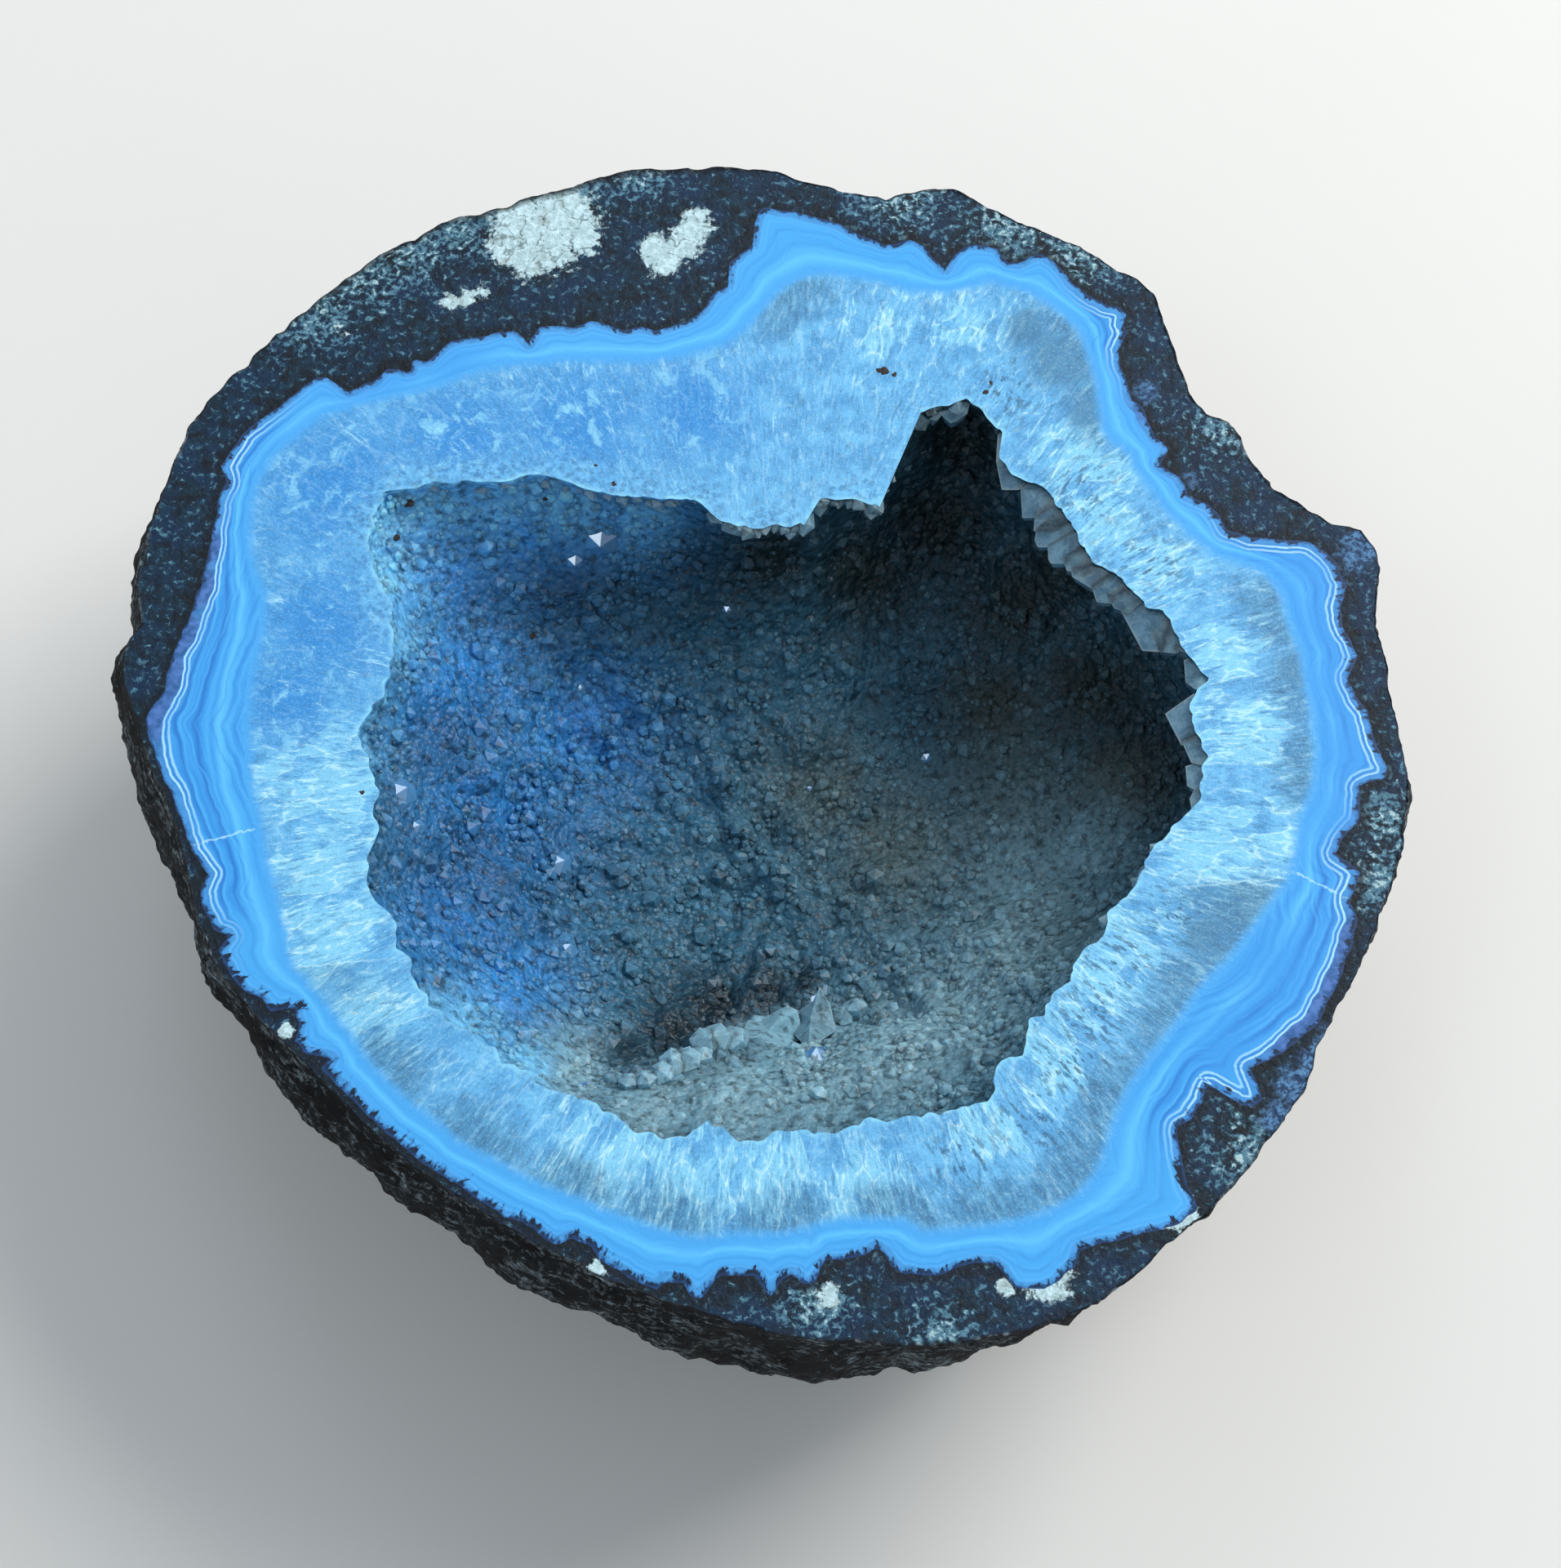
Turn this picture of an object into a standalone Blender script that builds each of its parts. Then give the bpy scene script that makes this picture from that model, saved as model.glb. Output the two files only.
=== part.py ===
"""Half of an agate geode that lies on its rounded back, with the sawn face up.

Four layers grew one inside the other, and each is a solid of its own: the rock rind, the banded
agate, the milky quartz and the crust of crystals that lines the hollow. Units are metres and +Z is
up. The origin is the middle of the stone's box, on the surface that it rests on. +X runs to the
right of the sawn face and +Y to its far side.
"""

import math

import bmesh
import bpy
import numpy as np
from mathutils import Vector, geometry, noise

# Driving sizes.
SAWN_WIDTH = 0.111
HEIGHT = 0.044
HOLLOW_DEPTH = 0.0235
CRUST_THICKNESS = 0.0026
AGATE_FLOOR = 0.0055
ROCK_FLOOR = 0.0055
THINNEST_LAYER = 0.0012
LAYER_GAP = 0.0003
CRYSTAL_SPACING = 0.0048
CRYSTAL_SCATTER = 0.0011
CRYSTAL_HEIGHT = (0.0010, 0.0027)
RIM_CRYSTALS = 90
RIM_COLUMNS = 2 * RIM_CRYSTALS
CRYSTAL_LEAN = 0.0004
# At the sawn face: how far a cut crystal reaches in, and how deep the notch beside it is.
CUT_CRYSTAL_REACH = 0.0008
CUT_NOTCH_DEPTH = (0.0003, 0.0009)
SHALLOWEST_VALLEY = math.radians(1.5)
RIM_CLEARANCE = 0.6 * CRYSTAL_SPACING
WALLS_MEASURED = 72
# How far round the hollow the back of the crust keeps clear of a notch.
BACK_SPREAD = math.radians(5)
SEED = 7

# The view in which the outlines below were read: where the camera stood over the sawn face.
VIEW_SIZE = (1912, 1920)
VIEW_ELEVATION = math.radians(66)
VIEW_FIELD = math.radians(30)
HOLLOW_MIDDLE = (950, 940)

# Outlines on the sawn face, in pixels of that view, clockwise from the left.
ROCK_EDGE = [
    (146, 825), (150, 790), (172, 770), (166, 712), (172, 672), (183, 640), (195, 605), (215, 560),
    (225, 530), (248, 497), (275, 465), (300, 445), (330, 415), (355, 393), (385, 368), (410, 350),
    (440, 330), (475, 303), (505, 293), (530, 277), (560, 265), (600, 258), (640, 242), (690, 232),
    (730, 215), (780, 207), (840, 204), (895, 203), (945, 206), (980, 220), (1010, 226), (1050, 236),
    (1085, 243), (1115, 232), (1150, 229), (1180, 233), (1205, 250), (1245, 270), (1290, 287),
    (1330, 305), (1370, 330), (1400, 345), (1418, 360), (1424, 385), (1437, 420), (1447, 455),
    (1465, 490), (1480, 505), (1500, 512), (1515, 520), (1530, 555), (1550, 585), (1575, 605),
    (1600, 620), (1625, 638), (1655, 640), (1675, 650), (1690, 680), (1692, 700), (1685, 735),
    (1690, 780), (1700, 810), (1703, 850), (1715, 890), (1722, 930), (1727, 960), (1724, 1000),
    (1720, 1040), (1705, 1085), (1695, 1110), (1680, 1150), (1665, 1190), (1645, 1225), (1630, 1255),
    (1615, 1290), (1600, 1335), (1575, 1370), (1550, 1405), (1520, 1445), (1480, 1485), (1425, 1530),
    (1390, 1565), (1350, 1595), (1300, 1618), (1250, 1632), (1200, 1642), (1140, 1648), (1060, 1648),
    (1000, 1642), (950, 1634), (900, 1622), (850, 1604), (800, 1590), (750, 1572), (700, 1545),
    (650, 1520), (600, 1492), (550, 1458), (500, 1425), (450, 1380), (400, 1330), (350, 1278),
    (300, 1232), (270, 1195), (250, 1155), (238, 1110), (225, 1060), (215, 1010), (195, 965),
    (180, 930), (170, 890), (158, 860),
]
AGATE_OUTER_EDGE = [
    (176, 885), (183, 872), (200, 845), (208, 815), (218, 785), (228, 765), (240, 735), (248, 705),
    (256, 680), (262, 640), (268, 610), (278, 590), (272, 572), (280, 555), (292, 540), (305, 522),
    (320, 512), (340, 500), (352, 490), (370, 475), (388, 462), (405, 463), (415, 475), (427, 480),
    (445, 470), (460, 468), (472, 452), (487, 452), (503, 458), (506, 440), (525, 442), (540, 430),
    (552, 418), (575, 415), (600, 410), (632, 405), (646, 420), (660, 400), (685, 398), (702, 402),
    (722, 393), (745, 397), (762, 404), (785, 400), (802, 405), (818, 400), (838, 395), (852, 387),
    (864, 377), (872, 362), (892, 350), (893, 323), (907, 310), (921, 302), (926, 265), (936, 252),
    (965, 258), (1000, 265), (1020, 272), (1040, 280), (1060, 290), (1085, 301), (1115, 292),
    (1132, 302), (1146, 320), (1159, 330), (1166, 315), (1182, 301), (1200, 300), (1220, 305),
    (1236, 321), (1250, 322), (1263, 314), (1277, 310), (1300, 330), (1312, 347), (1332, 361),
    (1352, 371), (1372, 376), (1384, 388), (1376, 398), (1383, 412), (1369, 428), (1371, 446),
    (1381, 470), (1386, 490), (1401, 500), (1406, 516), (1416, 536), (1431, 550), (1421, 570),
    (1441, 581), (1456, 605), (1476, 616), (1491, 627), (1501, 648), (1530, 658), (1560, 660),
    (1600, 662), (1626, 676), (1641, 696), (1650, 718), (1641, 746), (1646, 771), (1656, 786),
    (1664, 802), (1651, 830), (1661, 851), (1675, 872), (1681, 896), (1687, 916), (1699, 937),
    (1699, 953), (1666, 960), (1668, 985), (1664, 1008), (1641, 1030), (1636, 1046), (1652, 1056),
    (1667, 1068), (1663, 1084), (1652, 1101), (1661, 1122), (1659, 1143), (1651, 1170), (1641, 1196),
    (1628, 1225), (1616, 1250), (1601, 1263), (1586, 1278), (1566, 1292), (1546, 1301), (1532, 1309),
    (1541, 1327), (1546, 1345), (1533, 1356), (1513, 1351), (1508, 1335), (1495, 1322), (1478, 1330),
    (1470, 1350), (1460, 1370), (1443, 1380), (1446, 1402), (1449, 1431), (1454, 1452), (1466, 1472),
    (1468, 1487), (1441, 1501), (1411, 1508), (1381, 1515), (1351, 1522), (1323, 1530), (1316, 1551),
    (1300, 1566), (1280, 1579), (1258, 1579), (1240, 1575), (1232, 1562), (1221, 1550), (1200, 1545),
    (1176, 1550), (1151, 1560), (1130, 1562), (1108, 1560), (1091, 1550), (1084, 1535), (1075, 1528),
    (1050, 1540), (1012, 1544), (1004, 1556), (998, 1570), (985, 1575), (970, 1561), (956, 1570),
    (946, 1590), (936, 1580), (925, 1563), (900, 1560), (880, 1562), (868, 1580), (858, 1591),
    (846, 1588), (838, 1572), (815, 1570), (800, 1583), (776, 1573), (765, 1558), (735, 1545),
    (725, 1526), (702, 1516), (680, 1526), (660, 1511), (640, 1496), (612, 1490), (590, 1475),
    (562, 1450), (540, 1440), (515, 1430), (498, 1415), (472, 1402), (456, 1385), (440, 1362),
    (424, 1350), (412, 1330), (394, 1335), (376, 1325), (386, 1310), (404, 1296), (376, 1290),
    (361, 1280), (367, 1252), (362, 1233), (346, 1236), (330, 1240), (321, 1221), (301, 1215),
    (286, 1200), (271, 1185), (266, 1165), (279, 1146), (263, 1140), (255, 1125), (244, 1105),
    (246, 1088), (256, 1070), (243, 1052), (232, 1040), (226, 1020), (216, 1000), (206, 985),
    (200, 957), (191, 940), (183, 912),
]
AGATE_INNER_EDGE = [
    (298, 907), (299, 860), (306, 820), (316, 770), (318, 724), (305, 700), (300, 670), (303, 610),
    (318, 570), (345, 540), (387, 508), (430, 492), (502, 477), (548, 462), (599, 447), (663, 440),
    (731, 437), (789, 437), (835, 430), (875, 420), (905, 405), (921, 385), (935, 370), (955, 345),
    (986, 331), (1049, 334), (1118, 351), (1176, 351), (1210, 337), (1244, 348), (1273, 355),
    (1300, 375), (1320, 390), (1336, 420), (1345, 460), (1354, 494), (1350, 523), (1376, 546),
    (1392, 555), (1399, 575), (1428, 615), (1457, 649), (1497, 678), (1543, 690), (1560, 705),
    (1577, 730), (1589, 781), (1600, 800), (1606, 839), (1612, 880), (1618, 920), (1615, 960),
    (1600, 1000), (1590, 1050), (1583, 1080), (1531, 1148), (1474, 1217), (1428, 1275), (1388, 1332),
    (1371, 1378), (1353, 1430), (1325, 1470), (1267, 1499), (1187, 1510), (1130, 1513), (1101, 1499),
    (1026, 1499), (969, 1516), (900, 1520), (846, 1522), (777, 1504), (708, 1476), (645, 1453),
    (599, 1424), (559, 1407), (525, 1378), (473, 1332), (439, 1298), (421, 1269), (398, 1240),
    (364, 1200), (347, 1183), (341, 1137), (330, 1097), (318, 1051), (312, 1016), (301, 965),
]
HOLLOW_EDGE = [
    (430, 900), (455, 870), (475, 830), (482, 790), (478, 750), (460, 712), (452, 670), (450, 630),
    (470, 603), (510, 592), (560, 588), (610, 584), (660, 582), (700, 590), (750, 600), (800, 607),
    (850, 613), (880, 630), (920, 640), (960, 645), (985, 640), (1005, 612), (1045, 612),
    (1080, 615), (1087, 590), (1096, 570), (1101, 545), (1110, 530), (1117, 505), (1140, 497),
    (1165, 494), (1185, 488), (1200, 494), (1212, 510), (1228, 530), (1228, 555), (1246, 575),
    (1265, 590), (1290, 602), (1298, 620), (1312, 642), (1325, 665), (1337, 685), (1365, 700),
    (1386, 712), (1396, 735), (1425, 747), (1440, 775), (1462, 797), (1475, 816), (1479, 835),
    (1466, 850), (1459, 870), (1466, 890), (1476, 906), (1478, 930), (1478, 952), (1475, 970),
    (1469, 985), (1454, 1000), (1430, 1020), (1408, 1045), (1400, 1060), (1394, 1080), (1375, 1100),
    (1363, 1120), (1355, 1140), (1344, 1155), (1330, 1170), (1318, 1185), (1311, 1200), (1299, 1220),
    (1280, 1240), (1265, 1252), (1258, 1275), (1250, 1291), (1230, 1297), (1219, 1307), (1216, 1320),
    (1220, 1335), (1208, 1347), (1180, 1355), (1150, 1365), (1110, 1369), (1060, 1373), (1030, 1385),
    (1010, 1395), (980, 1398), (940, 1397), (905, 1400), (885, 1385), (865, 1377), (850, 1386),
    (838, 1397), (805, 1399), (780, 1388), (755, 1366), (715, 1348), (680, 1338), (650, 1324),
    (620, 1304), (595, 1284), (575, 1262), (545, 1250), (530, 1235), (515, 1210), (500, 1180),
    (484, 1155), (478, 1130), (462, 1103), (452, 1085), (450, 1052), (460, 1030), (459, 1005),
    (455, 980), (452, 950), (441, 922),
]

# How the hollow's wall falls away from its edge: (degrees, roundness, undercut in metres). A
# roundness of 2 is a bowl, more is a steep wall on a flat floor, and less is a gentle slope.
WALL_SHAPE = [
    (0, 2.9, 0.0030), (35, 3.0, 0.0032), (65, 2.8, 0.0026), (88, 2.6, 0.0030), (104, 2.2, 0.0020),
    (125, 1.6, 0.0), (160, 1.45, 0.0), (200, 1.5, 0.0), (240, 1.7, 0.0), (270, 2.0, 0.0),
    (300, 2.0, 0.0), (325, 1.9, 0.0), (345, 2.4, 0.0015),
]
UNDERCUT_ANGLE = math.radians(20)
FLOOR_ROUNDNESS = 2.3
# The hollow's outline grows softer below the sawn face, as the mean of what lies this far round.
SOFTENING_TURNS = [math.radians(degrees) for degrees in (-10, -5, 0, 5, 10)]
# Between which degrees below the sawn face each change comes in.
WALL_TO_FLOOR, EDGE_TO_SOFT, EDGE_TO_WAVES, EDGE_TO_ROUGH = (20, 75), (1, 22), (0, 15), (0, 9)
# The shelf on the near wall: its middle in degrees, the half widths where it starts to fade and is
# gone, how far it stands in, and the degrees below the sawn face of its four steps.
SHELF_MIDDLE, SHELF_HALF_WIDTHS, SHELF_DEPTH = 276, (21, 42), 0.0052
SHELF_STARTS, SHELF_LIP = (5, 18), (35, 41)
# Waves in the hollow's wall and in the agate's outside, as (size, height).
HOLLOW_WAVES, AGATE_WAVES = (0.011, 0.0007), (0.004, 0.0004)
LAYER_ROUNDNESS = 2.3

# How far the rock stands out below the sawn edge, or draws in where negative: (degrees, metres).
ROCK_BULGE = [
    (0, 0.0008), (60, 0.0010), (120, 0.0010), (170, 0.0028), (205, 0.0004), (220, 0.0032),
    (235, 0.0010), (255, 0.0018), (275, -0.0006), (295, -0.0027), (310, -0.0009), (325, -0.0014),
    (340, -0.0002),
]
BULGE_ANGLE = math.radians(13)
ROCK_ROUNDNESS = 2.4
# How much deeper the rock would be if its underside weren't worn flat.
ROCK_WORN_AWAY = 0.0022
# Lumps in the rock's skin, from coarse to fine, as (size, height), and its ledges.
ROCK_LUMPS = [(0.015, 0.0024), (0.0065, 0.0015)]
LEDGE_HEIGHT, LEDGES_TO_POLE, LEDGE_WANDER, LEDGE_LENGTH = 0.0010, 4, 4.0, 0.020
# The noise is read on a ball of this radius, and shifted by this much for each kind.
NOISE_RADIUS = 0.045
NOISE_SHIFT = Vector((7.3, 3.1, 1.7))
HOLLOW_NOISE, AGATE_NOISE, ROCK_NOISE, LEDGE_NOISE = 2, 5, 11, 13

# Rings of points below the sawn face, as (degrees down, points round the ring), ending at the pole.
ROCK_RINGS = [
    (3, 100), (7, 96), (12, 96), (17, 96), (23, 96), (29, 96), (36, 96), (43, 96), (50, 96), (57, 96),
    (64, 72), (71, 48), (78, 24), (84, 12),
]
INNER_RINGS = [(10, 60), (25, 48), (42, 36), (58, 24), (75, 12)]

# Colours, as linear RGB, with roughness.
LAYER_FINISH = {
    "rock_rind": ((0.030, 0.036, 0.038), 0.85),
    "agate_band": ((0.120, 0.360, 0.760), 0.25),
    "quartz_wall": ((0.430, 0.600, 0.740), 0.25),
    "crystal_crust": ((0.150, 0.190, 0.225), 0.20),
}


def sawn_point(pixel):
    """Where the view's ray through a pixel meets the sawn face, with the camera one unit away."""
    lens = VIEW_SIZE[1] / 2 / math.tan(VIEW_FIELD / 2)
    across = (pixel[0] - VIEW_SIZE[0] / 2) / lens
    up = (VIEW_SIZE[1] / 2 - pixel[1]) / lens
    sine, cosine = math.sin(VIEW_ELEVATION), math.cos(VIEW_ELEVATION)
    reach = sine / (sine - up * cosine)
    return Vector((across * reach, reach * (up * sine + cosine) - cosine))


def view_scale():
    """Metres for one unit of sawn_point, from the width of the sawn face."""
    across = [sawn_point(pixel).x for pixel in ROCK_EDGE]
    return SAWN_WIDTH / (max(across) - min(across))


def edge_radius(pixels):
    """A function of the angle that gives an outline's distance from the hollow's middle."""
    scale = view_scale()
    middle = sawn_point(HOLLOW_MIDDLE)
    points = [(sawn_point(pixel) - middle) * scale for pixel in pixels]
    turned = sorted((math.atan2(p.y, p.x) % math.tau, p.length) for p in points)
    angles, radii = zip(*turned)
    return lambda angle: float(np.interp(angle % math.tau, angles, radii, period=math.tau))


def round_table(rows, angle):
    """A table's value at an angle, smooth between its rows."""
    degrees = math.degrees(angle) % 360
    return float(np.interp(degrees, [row[0] for row in rows], [row[1] for row in rows], period=360))


def smooth_step(value, low, high):
    share = min(1.0, max(0.0, (value - low) / (high - low)))
    return share * share * (3 - 2 * share)


def rounded(edge, depth, down, roundness):
    """Distance from the middle of the sawn face to a bowl, at an angle below that face."""
    flat = (max(0.0, math.cos(down)) / edge) ** roundness
    deep = (math.sin(down) / depth) ** roundness
    return (flat + deep) ** (-1 / roundness)


def hump(down, peak):
    """Rises from 0 at the sawn face to 1 at the peak, and falls slowly below it."""
    return down / peak * math.exp(1 - down / peak)


def lumps(angle, down, size, kind):
    """Smooth noise from about -1 to 1 over the stone, with lumps of this size."""
    across, along = math.cos(angle), math.sin(angle)
    spot = Vector((math.cos(down) * across, math.cos(down) * along, -math.sin(down)))
    return noise.noise(spot * NOISE_RADIUS / size + NOISE_SHIFT * kind)


class Layers:
    """The distances from the middle of the sawn face to the surfaces between the layers."""

    def __init__(self):
        self.rock_edge = edge_radius(ROCK_EDGE)
        self.agate_edge = edge_radius(AGATE_OUTER_EDGE)
        self.quartz_edge = edge_radius(AGATE_INNER_EDGE)
        self.hollow_edge = edge_radius(HOLLOW_EDGE)

    def crystals_foot(self, angle, down):
        """The hollow's own surface, on which the crystals stand."""
        roundness = round_table([(row[0], row[1]) for row in WALL_SHAPE], angle)
        undercut = round_table([(row[0], row[2]) for row in WALL_SHAPE], angle)
        degrees = math.degrees(down)
        roundness += (FLOOR_ROUNDNESS - roundness) * smooth_step(degrees, *WALL_TO_FLOOR)
        edge = self.hollow_edge(angle)
        softer = sum(self.hollow_edge(angle + turn) for turn in SOFTENING_TURNS) / len(SOFTENING_TURNS)
        edge += (softer - edge) * smooth_step(degrees, *EDGE_TO_SOFT)
        reach = rounded(edge, HOLLOW_DEPTH, down, roundness)
        reach += undercut * hump(down, UNDERCUT_ANGLE)
        off_shelf = abs((math.degrees(angle) - SHELF_MIDDLE + 180) % 360 - 180)
        shelf = smooth_step(degrees, *SHELF_STARTS) * (1 - smooth_step(degrees, *SHELF_LIP))
        reach -= SHELF_DEPTH * shelf * (1 - smooth_step(off_shelf, *SHELF_HALF_WIDTHS))
        size, height = HOLLOW_WAVES
        return reach + height * lumps(angle, down, size, HOLLOW_NOISE) * smooth_step(degrees, *EDGE_TO_WAVES)

    def crust_back(self, angle, down):
        """The smooth back of the crust, which passes wide of the notch's steep sides."""
        turns = (-BACK_SPREAD, -BACK_SPREAD / 2, 0, BACK_SPREAD / 2, BACK_SPREAD)
        return max(self.crystals_foot(angle + turn, down) for turn in turns) + CRUST_THICKNESS

    def agate_outside(self, angle, down):
        """Where the agate meets the rock."""
        edge = min(self.agate_edge(angle), self.rock_edge(angle) - THINNEST_LAYER)
        size, height = AGATE_WAVES
        wanted = rounded(edge, HEIGHT - ROCK_FLOOR, down, LAYER_ROUNDNESS)
        wanted += height * lumps(angle, down, size, AGATE_NOISE) * math.cos(down)
        return min(wanted, self.rock_outside(angle, down) - THINNEST_LAYER)

    def quartz_outside(self, angle, down):
        """Where the quartz meets the agate."""
        edge = min(self.quartz_edge(angle), self.agate_outside(angle, 0) - THINNEST_LAYER)
        depth = HEIGHT - ROCK_FLOOR - AGATE_FLOOR
        outermost = self.agate_outside(angle, down) - THINNEST_LAYER
        innermost = self.crust_back(angle, down) + THINNEST_LAYER + LAYER_GAP
        return max(innermost, min(outermost, rounded(edge, depth, down, LAYER_ROUNDNESS)))

    def rock_outside(self, angle, down):
        """The rough skin of the stone, before its underside is worn flat."""
        reach = rounded(self.rock_edge(angle), HEIGHT + ROCK_WORN_AWAY, down, ROCK_ROUNDNESS)
        reach += round_table(ROCK_BULGE, angle) * hump(down, BULGE_ANGLE)
        rough = sum(height * lumps(angle, down, size, ROCK_NOISE) for size, height in ROCK_LUMPS)
        turn = down * 4 * LEDGES_TO_POLE + LEDGE_WANDER * lumps(angle, down, LEDGE_LENGTH, LEDGE_NOISE)
        rough += LEDGE_HEIGHT * math.sin(turn)
        return reach + rough * smooth_step(math.degrees(down), *EDGE_TO_ROUGH)


def place(angle, down, reach):
    """The point at an angle round and an angle down, measured from the middle of the sawn face."""
    flat = reach * math.cos(down)
    return Vector((flat * math.cos(angle), flat * math.sin(angle), HEIGHT - reach * math.sin(down)))


def ring(mesh, surface, down_degrees, count):
    """A closed ring of points on a surface, at one angle below the sawn face."""
    down = math.radians(down_degrees)
    points = []
    for step in range(count):
        angle = math.tau * step / count
        point = place(angle, down, surface(angle, down))
        points.append(mesh.verts.new((point.x, point.y, max(0.0, point.z))))
    return points


def stitch(mesh, one, two):
    """Triangles between two rings that start at the same angle, with any numbers of points."""
    i = j = 0
    while i < len(one) or j < len(two):
        a, b = one[i % len(one)], two[j % len(two)]
        if j == len(two) or (i < len(one) and (i + 1) * len(two) <= (j + 1) * len(one)):
            i += 1
            mesh.faces.new((a, b, one[i % len(one)]))
        else:
            j += 1
            mesh.faces.new((a, b, two[j % len(two)]))


def bowl(mesh, surface, rings):
    """One side of a layer, from the sawn face down to its pole. Returns the ring on the sawn face."""
    top = ring(mesh, surface, 0, RIM_COLUMNS)
    above = top
    for down_degrees, count in rings:
        below = ring(mesh, surface, down_degrees, count)
        stitch(mesh, above, below)
        above = below
    point = place(0, math.pi / 2, surface(0, math.pi / 2))
    pole = mesh.verts.new((0, 0, max(0.0, point.z)))
    for i, corner in enumerate(above):
        mesh.faces.new((corner, pole, above[(i + 1) % len(above)]))
    return top


def add_object(name, mesh):
    """Turns a closed bmesh into a named object with its own material."""
    bmesh.ops.recalc_face_normals(mesh, faces=mesh.faces[:])
    data = bpy.data.meshes.new(name)
    mesh.to_mesh(data)
    mesh.free()
    colour, roughness = LAYER_FINISH[name]
    material = bpy.data.materials.new(name)
    material.use_nodes = True
    shader = material.node_tree.nodes["Principled BSDF"]
    shader.inputs["Base Color"].default_value = (*colour, 1)
    shader.inputs["Roughness"].default_value = roughness
    shader.inputs["Metallic"].default_value = 0
    data.materials.append(material)
    obj = bpy.data.objects.new(name, data)
    bpy.context.scene.collection.objects.link(obj)
    return obj


def add_layer(name, outside, outside_rings, inside):
    """A bowl-shaped layer with a flat sawn edge on top."""
    mesh = bmesh.new()
    outer = bowl(mesh, outside, outside_rings)
    inner = bowl(mesh, inside, INNER_RINGS)
    stitch(mesh, outer, inner)
    return add_object(name, mesh)


def unrolled_lengths(foot, angle, steps=18):
    """Lengths along the hollow's wall at this angle, from its pole up to the sawn face."""
    downs = [math.pi / 2 * (1 - step / steps) for step in range(steps + 1)]
    points = [place(angle, down, foot(angle, down)) for down in downs]
    lengths = [0.0]
    for below, above in zip(points, points[1:]):
        lengths.append(lengths[-1] + (above - below).length)
    return downs, lengths


def crystal_sites(foot, random):
    """(angle, down, across, along) of each crystal, spaced evenly over the hollow unrolled flat.

    Also returns a function of the angle that gives the length of the hollow's wall.
    """
    table_angles = [math.tau * step / WALLS_MEASURED for step in range(WALLS_MEASURED + 1)]
    walls = [unrolled_lengths(foot, angle) for angle in table_angles]
    full = [lengths[-1] for _, lengths in walls]
    sites = []
    rows = int(max(full) / CRYSTAL_SPACING) + 2
    for row in range(-rows * 2, rows * 2):
        for column in range(-rows * 2, rows * 2):
            across = (column + 0.5 * (row % 2)) * CRYSTAL_SPACING
            along = row * CRYSTAL_SPACING * math.sqrt(3) / 2
            across += random.uniform(-CRYSTAL_SCATTER, CRYSTAL_SCATTER)
            along += random.uniform(-CRYSTAL_SCATTER, CRYSTAL_SCATTER)
            angle = math.atan2(along, across) % math.tau
            length = math.hypot(across, along)
            if length > np.interp(angle, table_angles, full) - RIM_CLEARANCE:
                continue
            downs, lengths = walls[round(angle / math.tau * WALLS_MEASURED)]
            sites.append((angle, float(np.interp(length, lengths, downs)), across, along))
    return sites, lambda angle: float(np.interp(angle, table_angles, full))


def rim_sites(full_length):
    """(angle, down, across, along) of the crystals that the saw cut through, at the hollow's edge."""
    sites = []
    for step in range(RIM_CRYSTALS):
        angle = math.tau * step / RIM_CRYSTALS
        length = full_length(angle)
        sites.append((angle, 0.0, length * math.cos(angle), length * math.sin(angle)))
    return sites


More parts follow.
